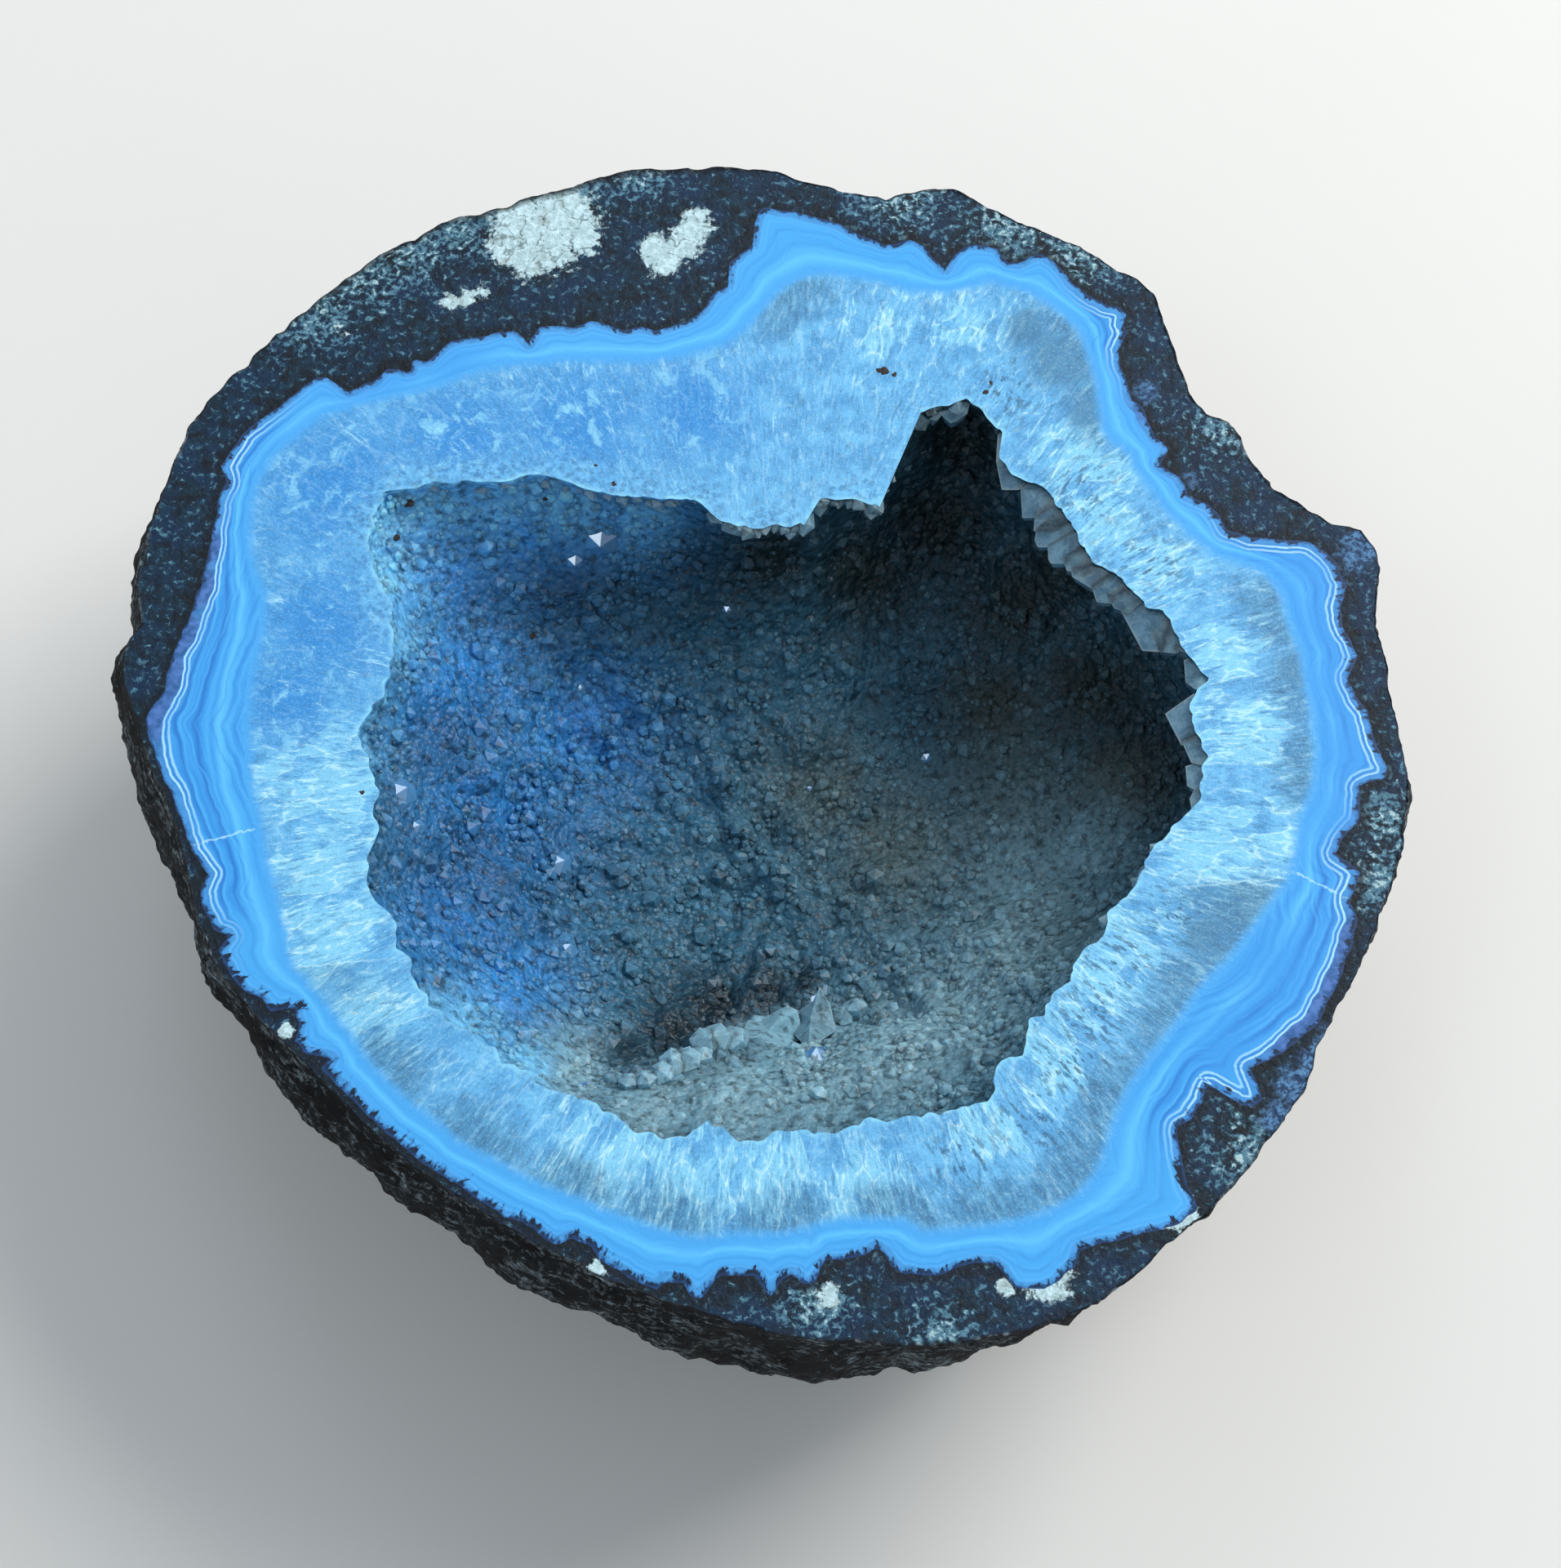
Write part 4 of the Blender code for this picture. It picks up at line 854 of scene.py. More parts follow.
    # The agate's blue fades out over the first millimetre, and the hollow's edge is paler.
    into = s.fade(s.plus(outer, s.times(small, 0.6)), 0.3, 1.5)
    colour = s.mix(into, colour, AGATE_INNER)
    rim = s.fade(s.plus(inner, s.times(small, 0.9)), 0.5, 0.95)
    colour = s.mix(s.times(rim, s.steps(cloud, 0.40, 0.60, 0.1, 0.6)), colour, QUARTZ_WHITE)
    lumpy = s.times(s.steps(small, 0.56, 0.70), s.steps(inner, 0.5, 3.0, 0.45, 0.08))
    colour = s.mix(lumpy, colour, QUARTZ_WHITE)
    return s.done({
        "Base Color": colour,
        "Roughness": 0.38,
        "Specular IOR Level": 0.3,
        "Coat Weight": 0.15,
        "Coat Roughness": 0.22,
        "Normal": s.bump(s.plus(fibres, small), 0.06),
    })


# Colours of the crystals in the hollow.
DRUSE_BLUE_AND_SHEEN, DRUSE_GREY, DRUSE_SHADE_OLIVE = tone(52, 138, 212), tone(56, 108, 134), tone(30, 46, 46)
DRUSE_LEDGE_LIGHT, DRUSE_TIP_HIGHLIGHT, DRUSE_PIT_SHADE = tone(128, 168, 184), tone(150, 190, 212), tone(8, 34, 48)
DRUSE_WARM_REFLECTION, DRUSE_RIM_LIGHT = tone(92, 112, 112), tone(118, 198, 248)
PLATE_DARK, PLATE_PALE, PLATE_EDGE_HIGHLIGHT = tone(94, 146, 178), tone(142, 196, 228), tone(192, 232, 250)
# Where the crystals are bluer: partly their own blue-grey, partly a painted reflection of the cool window.
BLUE_AND_SHEEN_DRUSE = [
    (500, 700, 130), (560, 850, 130), (600, 1000, 130), (640, 640, 120), (560, 1120, 120), (760, 620, 90),
    (700, 900, 110), (620, 1200, 90),
]
# Painted shade on the right and upper walls, under the overhang.
SHADED_DRUSE = [
    (1180, 540, 90), (1150, 640, 100), (1250, 740, 110), (1340, 840, 110), (1390, 950, 90),
    (1060, 700, 90), (1300, 700, 90), (1220, 860, 90), (950, 680, 60),
]
# Painted light on the ledge, which faces up toward the lamps.
LIT_LEDGE_DRUSE = [
    (1000, 1310, 90), (1100, 1280, 90), (900, 1340, 80), (1180, 1230, 90), (1230, 1160, 80),
    (800, 1350, 60), (700, 1310, 60), (1270, 1080, 90), (1330, 1040, 60),
]
# Painted shade, which darkens places under the lip and in recesses.
DIM_SHADE_DRUSE = [
    (590, 1060, 130), (560, 900, 70), (1180, 560, 110), (1140, 650, 100), (860, 690, 90), (700, 720, 60),
    (850, 1240, 60), (1400, 900, 80),
]
# Places turned olive-grey by a painted warm reflection of the table.
WARM_REFLECTION_DRUSE = [(1250, 1000, 120), (1100, 1040, 110), (1010, 970, 80), (1360, 960, 60), (1280, 1120, 70)]
# Painted shade in the pit behind the ledge, and painted light on the slope along the left of the hollow.
PIT_SHADE_DRUSE = [(880, 1232, 44), (820, 1268, 44), (940, 1212, 40), (770, 1285, 30), (985, 1200, 24)]
# Painted light on the steep wall under the left and upper rim.
RIM_LIGHT_DRUSE = [
    (475, 630, 80), (460, 710, 60), (460, 780, 50), (440, 850, 40), (430, 920, 30),
    (530, 605, 70), (610, 605, 70), (700, 615, 60), (790, 632, 50), (560, 1262, 50), (640, 1310, 40),
]
DRUSE_ZONES = {
    "blue": BLUE_AND_SHEEN_DRUSE, "dark": SHADED_DRUSE, "ledge": LIT_LEDGE_DRUSE, "pit": PIT_SHADE_DRUSE,
    "rim_light": RIM_LIGHT_DRUSE, "dim_shade": DIM_SHADE_DRUSE, "warm_reflection": WARM_REFLECTION_DRUSE,
}
# Clear quartz, clouded inside.
CLOUDED = {"IOR": 1.54, "Subsurface Radius": (0.9, 1.0, 1.1)}


def crystal_material():
    s = Shader("clear_crystals")
    tint = s.mark("tint")
    mottle = s.noise(s.spot, 2.6, 3, 0.6)
    # Partly own colour, partly a painted reflection of the cool window on the left.
    colour = s.mix(s.mark("blue"), DRUSE_GREY, DRUSE_BLUE_AND_SHEEN)
    # Painted shade: the right and upper walls are mixed toward a dark olive.
    colour = s.mix(s.mark("dark"), colour, DRUSE_SHADE_OLIVE)
    # Painted warm reflection of the table.
    colour = s.mix(s.times(s.mark("warm_reflection"), 0.8), colour, DRUSE_WARM_REFLECTION)
    # Painted light on the ledge.
    colour = s.mix(s.mark("ledge"), colour, DRUSE_LEDGE_LIGHT)
    # Painted light on the steep wall under the rim.
    colour = s.mix(s.mark("rim_light"), colour, DRUSE_RIM_LIGHT)
    # Painted shade in the pit behind the ledge.
    colour = s.mix(s.mark("pit"), colour, DRUSE_PIT_SHADE)
    # Painted highlights on the tips and along the facet edges.
    colour = s.mix(s.mark("tip"), colour, DRUSE_TIP_HIGHLIGHT)
    edge = s.times(s.fade(s.off_facet_edge(), 0.0, 0.09), s.mark("edge_light"))
    colour = s.mix(edge, colour, DRUSE_TIP_HIGHLIGHT)
    # Misty clouds, dark flecks and thin pale wisps, as of light inside the clear points.
    light = s.plus(s.times(tint, 0.4), mottle)
    shade = s.steps(light, 0.3, 1.1, 0.78, 1.25)
    fleck = s.noise(s.moved(s.spot, 0.5, 0.9), 0.85, 3, 0.6)
    shade = s.times(shade, s.steps(fleck, 0.34, 0.50, 0.45, 1.0))
    wisp = s.wisps(0.9, 1.0, 1.0)
    wisp = s.times(s.fade(wisp, 0.0, 0.05), s.steps(fleck, 0.44, 0.60))
    shade = s.plus(shade, s.times(wisp, 0.38))
    # Painted shade: the dim zones darken the colour.
    shade = s.times(shade, s.minus(1.0, s.times(s.mark("dim_shade"), 0.45)))
    grains = s.plus(s.cells(s.spot, 1.1), s.times(s.cells(s.spot, 0.5), 0.5))
    on_skin = s.minus(1.0, s.mark("crystal"))
    return s.done({
        "Base Color": s.vector("SCALE", colour, shade),
        "Roughness": 0.42,
        "Specular IOR Level": 0.25,
        "Transmission Weight": 0.1,
        "Subsurface Weight": 0.7,
        "Subsurface Scale": 0.0012,
        "Normal": s.bump(s.times(grains, on_skin), -0.35),
        **CLOUDED,
    })


def rim_material():
    """Clear grey-blue plates with painted highlights on their edges and tips, along the cut edge of the
    hollow.
    """
    s = Shader("rim_crystals")
    cloud = s.noise(s.spot, 1.1, 3, 0.6)
    colour = s.mix(s.steps(cloud, 0.35, 0.65), PLATE_DARK, PLATE_PALE)
    colour = s.mix(s.times(s.mark("tint"), 0.6), colour, PLATE_DARK)
    wisp = s.wisps(1.2, 1.4, 1.4)
    # Pale wisps, and painted highlights along the facet edges and at the tips.
    colour = s.mix(s.steps(wisp, 0.0, 0.06, 0.35, 0.0), colour, PLATE_EDGE_HIGHLIGHT)
    colour = s.mix(s.steps(s.off_facet_edge(), 0.0, 0.10, 0.75, 0.0), colour, PLATE_EDGE_HIGHLIGHT)
    return s.done({
        "Base Color": s.mix(s.times(s.mark("tip"), 0.4), colour, PLATE_EDGE_HIGHLIGHT),
        "Roughness": 0.3,
        "Transmission Weight": 0.4,
        "Subsurface Weight": 0.8,
        "Subsurface Scale": 0.0020,
        **CLOUDED,
    })


def bright_material():
    """Clean faces of larger crystals, which mirror the window."""
    s = Shader("bright_crystals")
    return s.done({
        "Base Color": s.mix(s.noise(s.spot, 0.8, 2), tone(60, 112, 158), tone(88, 150, 200)),
        "Roughness": 0.14,
        "IOR": 2.2,
        "Coat Weight": 1.0,
        "Coat Roughness": 0.05,
    })


def speck_material():
    s = Shader("dark_specks")
    return s.done({
        "Base Color": s.mix(s.noise(s.spot, 0.3, 3), tone(12, 10, 14), tone(52, 36, 34)),
        "Roughness": 0.7,
    })


def druse_marks(points):
    return {key: zone_mask(points, zones) for key, zones in DRUSE_ZONES.items()}


def druse_piece(name, points, faces, corners, material, marks):
    """A piece made of crystals. corners has a place within its facet for each corner of each face."""
    piece = made_piece(name, points, faces, [material], {**druse_marks(np.array(points)), **marks})
    facet = piece.data.attributes.new("facet", "FLOAT_VECTOR", "CORNER")
    facet.data.foreach_set("vector", np.array(corners, dtype=np.float32).ravel())
    return piece


def crystal_mesh(name, crystals, material, tip_light=0.10, edge_light=0.15, steep=PYRAMID_HEIGHT,
                 fixed=None):
    """One mesh of six-sided points, whose pyramids are steep times their inradius high.

    Each crystal is (foot, axis, facing, inradius, prism, lean of the tip, depth sunk in the wall).
    tip_light and edge_light are how much painted highlight the tips and the edges get. The
    marks in fixed have one value everywhere.
    """
    points = []
    faces = []
    corners = []
    tints = []
    for foot, axis, facing, inradius, prism, lean, sunk in crystals:
        axis = axis.normalized()
        side = (facing - axis * facing.dot(axis)).normalized()
        other = axis.cross(side)
        first = len(points)
        corner = inradius / math.cos(math.pi / SIDES)
        for height in (-sunk, prism):
            for k in range(SIDES):
                turn = math.tau * (k + 0.5) / SIDES
                spot = foot + axis * height + (side * math.cos(turn) + other * math.sin(turn)) * corner
                points.append(under_saw(spot))
        tip = foot + axis * (prism + steep * inradius) + side * lean[0] + other * lean[1]
        points.append(under_saw(tip))
        # Each corner of a three-sided facet has a place of its own, so that its edges can be found.
        faces.append(tuple(first + k for k in reversed(range(SIDES))))
        corners += [(1, 1, 1)] * SIDES
        for k in range(SIDES):
            low, after = first + k, first + (k + 1) % SIDES
            faces.append((low, after, after + SIDES, low + SIDES))
            faces.append((low + SIDES, after + SIDES, first + 2 * SIDES))
            corners += [(1, 1, 1)] * 4 + [(1, 0, 0), (0, 1, 0), (0, 0, 1)]
        tints.append(GUIDE.random())
    # Painted highlight: the tip mark lightens the upper corners and the tip.
    tips = [0.0] * SIDES + [0.4 * tip_light] * SIDES + [tip_light]
    marks = {"tint": np.repeat(tints, len(tips)), "tip": np.tile(tips, len(crystals)),
             "edge_light": edge_light, "crystal": 1.0, **(fixed or {})}
    return druse_piece(name, points, faces, corners, material, marks)


def under_saw(spot):
    return spot.x, spot.y, min(spot.z, SAWN - UNDER_SAW)


def any_way():
    """A vector in a direction drawn at random."""
    return Vector((GUIDE.gauss(0, 1), GUIDE.gauss(0, 1), GUIDE.gauss(0, 1)))


def any_shift(share, inradius):
    """How far a tip lies off its axis, drawn at random."""
    return GUIDE.uniform(-share, share) * inradius, GUIDE.uniform(-share, share) * inradius


def seen_on_skin(pixel):
    """Where the camera's ray through a pixel meets the hollow's skin, if it does."""
    place, ray = view_ray(pixel)
    return SKIN_TREE.ray_cast(place, ray.normalized())[0]


def hollow_edge_at(angle):
    return HOLLOW[int(round(angle / math.tau * COLUMNS)) % COLUMNS]


def hollow_spot(angle, down, back=0.0):
    """A point on the hollow's wall, and the direction that the wall faces."""
    def point(a, d):
        return CENTRE + direction(a, d) * hollow.at(a, d)

    step = 0.02
    here = point(angle, down)
    around = point(angle + step, down) - point(angle - step, down)
    lower = point(angle, min(down + step, math.pi / 2 - 1e-3)) - point(angle, max(down - step, 0.008))
    facing = around.cross(lower).normalized()
    if facing.dot(direction(angle, down)) > 0:
        facing = -facing
    return here - facing * back, facing


def scattered_crystals():
    """Crystals over the whole wall of the hollow, spread evenly by dart throwing."""
    areas = np.zeros((SCATTER_DOWN, SCATTER_ROUND))
    for i in range(SCATTER_DOWN):
        down = (i + 0.5) / SCATTER_DOWN * math.pi / 2
        for j in range(SCATTER_ROUND):
            angle = (j + 0.5) / SCATTER_ROUND * math.tau
            _, facing = hollow_spot(angle, down)
            reach = hollow.at(angle, down)
            slope = max(LEAST_SLOPE, abs(facing.dot(direction(angle, down))))
            areas[i, j] = reach * reach * math.cos(down) / slope
    totals = np.cumsum(areas.ravel())
    result = []
    for count, smallest, largest, spacing in CRYSTALS:
        cells = {}
        cell = largest * spacing * 2
        made = tries = 0
        while made < count and tries < count * TRIES:
            tries += 1
            pick = int(np.searchsorted(totals, GUIDE.random() * totals[-1]))
            i, j = divmod(pick, SCATTER_ROUND)
            down = (i + GUIDE.random()) / SCATTER_DOWN * math.pi / 2
            angle = (j + GUIDE.random()) / SCATTER_ROUND * math.tau
            inradius = smallest + (largest - smallest) * GUIDE.random() ** 1.8
            spot, facing = hollow_spot(angle, max(down, 0.01), SKIN_BACK)
            key = tuple(int(c // cell) for c in spot)
            around = (tuple(map(sum, zip(key, step))) for step in itertools.product((-1, 0, 1), repeat=3))
            others = (other for place in around for other in cells.get(place, ()))
            if any((old - spot).length < (inradius + size) * spacing / 2 for old, size in others):
                continue
            cells.setdefault(key, []).append((spot, inradius))
            made += 1
            lean = any_way() * math.tan(CRYSTAL_LEAN)
            axis = (facing + lean).normalized()
            if axis.dot(facing) < 0.5:
                axis = (axis + facing).normalized()
            turn = any_way()
            prism = inradius * GUIDE.uniform(-0.15, 0.40)
            shift = any_shift(0.35, inradius)
            result.append((spot, axis, turn, inradius, prism, shift, inradius * 1.2))
    return result


# Larger crystals under the edge of the hollow, as (from degree, to degree, step, smallest and largest
# inradius, how far the prism stands in, degrees below the sawn face).
RIM_ROWS = [
    (68, 98, 2.0, (0.0004, 0.0009), 0.0005, (1.0, 3.0)),
    (98, 140, 1.8, (0.0003, 0.0006), 0.0003, (1.0, 3.0)),
    (330, 350, 2.4, (0.0004, 0.0008), 0.0003, (1.5, 4.0)),
]


def rim_crystals():
    result = []
    for start, stop, step, sizes, stand, depths in RIM_ROWS:
        degree = start
        while degree < stop:
            degree += step * GUIDE.uniform(0.35, 1.6)
            angle = math.radians(degree)
            inradius = GUIDE.uniform(*sizes)
            down = math.radians(GUIDE.uniform(*depths))
            edge = hollow_edge_at(angle)
            spot = CENTRE + direction(angle, down) * (edge + BEHIND_EDGE)
            axis = -direction(angle + GUIDE.gauss(0, 0.34), GUIDE.gauss(-0.10, 0.22))
            turn = any_way()
            shift = any_shift(0.45, inradius)
            prism = stand * GUIDE.uniform(0.0, 1.3)
            result.append((spot, axis, turn, inradius, prism, shift, inradius * 1.5))
    return result


NOTCH_PRISM = 0.0003
# Crystals along the steep left side of the notch, as (x, y, inradius) with the place in pixels.
NOTCH_CRYSTALS = [
    (1076, 612, 0.0009), (1082, 596, 0.0007), (1088, 574, 0.0010), (1094, 556, 0.0007), (1098, 538, 0.0009),
    (1104, 520, 0.0009), (1112, 505, 0.0007), (1126, 499, 0.0008), (1150, 494, 0.0007), (1176, 489, 0.0009),
]


# Flat clear crystals under the hollow's edge, and along the lip of the ledge, each as its outline in
# the photograph's pixels.
RIM_PLATES = [
    [(1222, 480), (1203, 493), (1220, 527), (1250, 530)],
    [(1250, 512), (1222, 532), (1220, 565), (1227, 600), (1248, 600), (1280, 570)],
    [(1276, 580), (1250, 598), (1252, 634), (1268, 634), (1302, 612)],
    [(1300, 600), (1268, 626), (1266, 650), (1290, 652), (1324, 632)],
    [(1312, 612), (1270, 646), (1267, 662), (1271, 670), (1284, 670), (1330, 642)],
    [(1330, 640), (1283, 668), (1284, 685), (1287, 690), (1305, 690), (1346, 672)],
    [(1340, 655), (1302, 682), (1306, 698), (1328, 706), (1358, 686)],
    [(1350, 670), (1312, 696), (1313, 706), (1341, 723), (1376, 696)],
    [(1370, 690), (1336, 716), (1343, 737), (1361, 739), (1400, 716)],
    [(1392, 700), (1356, 728), (1364, 744), (1382, 752), (1410, 728)],
    [(1412, 716), (1371, 745), (1399, 797), (1424, 799), (1446, 762), (1436, 736)],
    [(1440, 748), (1410, 770), (1420, 798), (1441, 800), (1470, 784)],
    [(1462, 772), (1436, 793), (1459, 802), (1486, 802), (1480, 786)],
    [(1492, 796), (1450, 808), (1452, 835), (1464, 844), (1496, 842)],
    [(1496, 840), (1461, 850), (1427, 874), (1434, 888), (1447, 913), (1500, 890)],
    [(1500, 880), (1446, 905), (1459, 934), (1476, 938), (1506, 920)],
    [(1506, 926), (1452, 938), (1454, 962), (1472, 972), (1502, 966)],
    [(1502, 960), (1462, 968), (1457, 978), (1461, 997), (1494, 1000)],
    [(1112, 488), (1119, 509), (1147, 515), (1154, 508), (1150, 480)],
    [(1148, 480), (1154, 509), (1164, 518), (1171, 516), (1185, 506), (1192, 478)],
]
LEDGE_PLATES = [
    [(900, 1280), (916, 1249), (931, 1249), (965, 1231), (977, 1237), (985, 1270), (930, 1300)],
    [(968, 1262), (974, 1240), (996, 1226), (1004, 1208), (1017, 1230), (1024, 1262), (990, 1285)],
]
# Blunt crystals along the rest of the lip, as (x, y, inradius) with the place in pixels.
LIP_CRYSTALS = [
    (812, 1318, 0.0010), (826, 1306, 0.0012), (842, 1302, 0.0011), (858, 1298, 0.0010), (864, 1280, 0.0012),
    (880, 1276, 0.0013), (898, 1278, 0.0012), (914, 1270, 0.0011), (930, 1264, 0.0012),
    (1030, 1248, 0.0009), (1048, 1238, 0.0010), (752, 1322, 0.0007), (770, 1328, 0.0008),
    (792, 1326, 0.0009),
]
# How far under the sawn face plates start, how steeply they sink, and their thickness and taper.
PLATE_UNDER, PLATE_SLOPE, PLATE_THICK, PLATE_TAPER = 0.0003, 0.5, 0.0014, 0.75
# How far the ledge's plates are sunk at the front, and how far they rise at the back.
LEDGE_SUNK, LEDGE_RISE = -0.0004, 0.0026


def seen_at(pixel, height):
    """The place at this height that the camera sees at a pixel."""
    place, ray = view_ray(pixel)
    return place + ray * ((height - place.z) / ray.z)


def rim_plates():
    """The plates under the edge, which sink a little toward the middle of the hollow."""
    result = []
    for outline in RIM_PLATES:
        plate = []
        for pixel in outline:
            x, y = sawn_spot(pixel)
            angle = math.atan2(y - MIDDLE[1], x - MIDDLE[0])
            edge = hollow_edge_at(angle)
            inside = edge - math.hypot(x - MIDDLE[0], y - MIDDLE[1])
            plate.append(seen_at(pixel, SAWN - PLATE_UNDER - PLATE_SLOPE * max(0.0, inside)))
        result.append(plate)
    return result


def lip_crystals():
    result = []
    for x, y, inradius in LIP_CRYSTALS:
        spot = seen_on_skin((x, y))
        axis = Vector((GUIDE.gauss(-0.15, 0.25), GUIDE.gauss(0.35, 0.25), 1.0))
        turn = any_way()
        shift = any_shift(0.3, inradius)
        result.append((spot, axis, turn, inradius, inradius * 0.7, shift, inradius * 1.5))
    return result


def ledge_plates():
    """The plates that rise from the ledge toward the pit behind it."""
    result = []
    for outline in LEDGE_PLATES:
        front = max(y for x, y in outline)
        back = min(y for x, y in outline)
        plate = []
        for pixel in outline:
            level = seen_on_skin(pixel).z
            rise = (front - pixel[1]) / (front - back)
            plate.append(seen_at(pixel, level + LEDGE_SUNK + (LEDGE_RISE - LEDGE_SUNK) * rise))
        result.append(plate)
    return result


def plate_mesh(name, plates, material, fixed):
    """One mesh of flat crystals, each given by the spots round its top, with some marks fixed."""
    points = []
    faces = []
    tints = []
    corners = []
    for outline in plates:
        middle = sum(outline, Vector()) / len(outline)
        after = outline[1:] + outline[:1]
        if sum((a - middle).cross(b - middle).z for a, b in zip(outline, after)) < 0:
            outline = outline[::-1]
        first, count = len(points), len(outline)
        points += [tuple(spot) for spot in outline]
        down = Vector((0, 0, PLATE_THICK))
        points += [tuple(middle + (spot - middle) * PLATE_TAPER - down) for spot in outline]
        crest = middle + Vector((GUIDE.uniform(-0.3, 0.3), GUIDE.uniform(-0.3, 0.3), 0.25)) / MM
        points += [under_saw(crest), tuple(middle - Vector((0, 0, PLATE_THICK * 1.2)))]
        crest_at, base_at = first + 2 * count, first + 2 * count + 1
        for k in range(count):
            low, after = first + k, first + (k + 1) % count
            faces.append((low, after, crest_at))
            faces.append((after + count, low + count, base_at))
            faces.append((low + count, after + count, after, low))
            corners += [(1, 1, 0), (1, 1, 0)] + [(1, 1, 1)] * 8
        tints += [GUIDE.random()] * (2 * count + 2)
    marks = {"tint": tints, "tip": 0.0, "crystal": 1.0, **fixed}
    return druse_piece(name, points, faces, corners, material, marks)


def notch_crystals():
    result = []
    for x, y, inradius in NOTCH_CRYSTALS:
        across, along = sawn_spot((x, y))
        spot = Vector((across - BEHIND_EDGE, along, SAWN - inradius * GUIDE.uniform(0.75, 1.1)))
        back = 0.9 if x > 1120 else 0.0
        axis = Vector((1.0, GUIDE.uniform(-0.9, 0.1) - back, GUIDE.uniform(-0.5, 0.0)))
        turn = any_way()
        shift = any_shift(0.4, inradius)
        result.append((spot, axis, turn, inradius, NOTCH_PRISM, shift, inradius * 1.2))
    return result


# Facets that send the window's light to the camera, as (x, y, size in pixels).
GLINTS = [
    (735, 665, 34), (704, 690, 18), (495, 968, 28), (512, 1012, 16),
    (688, 1056, 26), (696, 1160, 22), (1004, 1222, 20), (1000, 1290, 30), (720, 1330, 20),
    (712, 843, 9), (890, 748, 10), (1135, 930, 12), (800, 830, 8), (990, 965, 8),
]


def glint_crystals(lamps):
    """Crystals with one face turned so that it mirrors the first of the lamps that it can see."""
    result = []
    slope = math.atan(PYRAMID_HEIGHT)
    for x, y, size in GLINTS:
        spot = seen_on_skin((x, y))
        if spot is None:
            continue
        to_eye = (camera.location - spot).normalized()
        start = spot + to_eye * OFF_SKIN
        seen = [lamp for lamp in lamps if SKIN_TREE.ray_cast(start, (lamp - spot).normalized())[0] is None]
        to_lamp = ((seen or lamps)[0] - spot).normalized()
        mirror = (to_eye + to_lamp).normalized()
        angle = math.atan2(spot.y - MIDDLE[1], spot.x - MIDDLE[0])
        flat = math.hypot(spot.x - MIDDLE[0], spot.y - MIDDLE[1])
        down = math.atan2(SAWN - spot.z, flat)
        _, facing = hollow_spot(angle, max(down, 0.02))
        lean = (facing - mirror * facing.dot(mirror)).normalized()
        axis = mirror * math.cos(slope) + lean * math.sin(slope)
        inradius = pixel_size(size) * GLINT_FILL
        foot = spot - axis * inradius * 0.4
        result.append((foot, axis, mirror, inradius, inradius * 0.3, (0.0, 0.0), inradius * 1.5))
    return result


# Black and brown specks on the crystals and the quartz, as (x, y, radius in pixels).
SPECKS = [
    (500, 615, 8), (485, 658, 5), (752, 592, 6), (730, 570, 4), (668, 610, 4), (1083, 455, 9),
    (1095, 458, 6), (1207, 480, 6), (1214, 469, 5), (443, 970, 5), (1420, 998, 6), (750, 1268, 6),
    (652, 778, 5), (1076, 453, 6),
]


def speck_piece(material):
    """Small ragged grains that sit on the surface under each speck."""
    points = []
    faces = []
    for x, y, size in SPECKS:
        spot = seen_on_skin((x, y))
        if spot is None:
            spot = Vector((*sawn_spot((x, y)), SAWN))
        radius = pixel_size(size)
        if spot.z > SAWN - SPECK_ON_FACE:
            spot.z = SAWN - SPECK_FLAT * radius
        first = len(points)
        for i in range(1, SPECK_ROUNDS):
            tilt = math.pi * i / SPECK_ROUNDS
            for k in range(SPECK_TURNS):
                turn = math.tau * k / SPECK_TURNS
                out = Vector((math.sin(tilt) * math.cos(turn), math.sin(tilt) * math.sin(turn),
                              SPECK_HEIGHT * math.cos(tilt)))
                bumpy = 1 + SPECK_BUMPS * noise.noise(out * 2.1 + spot * 9000)
                points.append(tuple(spot + out * radius * bumpy))
        top = len(points)
        points.append(tuple(spot + Vector((0, 0, SPECK_HEIGHT * radius))))
        points.append(tuple(spot - Vector((0, 0, SPECK_HEIGHT * radius))))
        lowest = top - SPECK_TURNS
        for k in range(SPECK_TURNS):
            n = (k + 1) % SPECK_TURNS
            faces.append((top, first + k, first + n))
            faces.append((top + 1, lowest + n, lowest + k))
            for a in range(first, lowest, SPECK_TURNS):
                b = a + SPECK_TURNS
                faces.append((a + k, b + k, b + n, a + n))
    return made_piece("dark_specks", points, faces, [material])


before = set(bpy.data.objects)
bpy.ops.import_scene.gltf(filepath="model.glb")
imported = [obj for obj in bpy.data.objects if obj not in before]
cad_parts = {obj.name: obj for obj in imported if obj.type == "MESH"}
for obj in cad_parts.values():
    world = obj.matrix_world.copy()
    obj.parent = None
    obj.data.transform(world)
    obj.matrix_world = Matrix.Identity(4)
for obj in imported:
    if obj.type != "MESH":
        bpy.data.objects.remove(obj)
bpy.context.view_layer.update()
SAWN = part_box("rock_rind")[1].z
ANGLES = np.arange(COLUMNS) * math.tau / COLUMNS
GUIDE = random.Random(SEED)
CENTRE = Vector((*MIDDLE, SAWN))

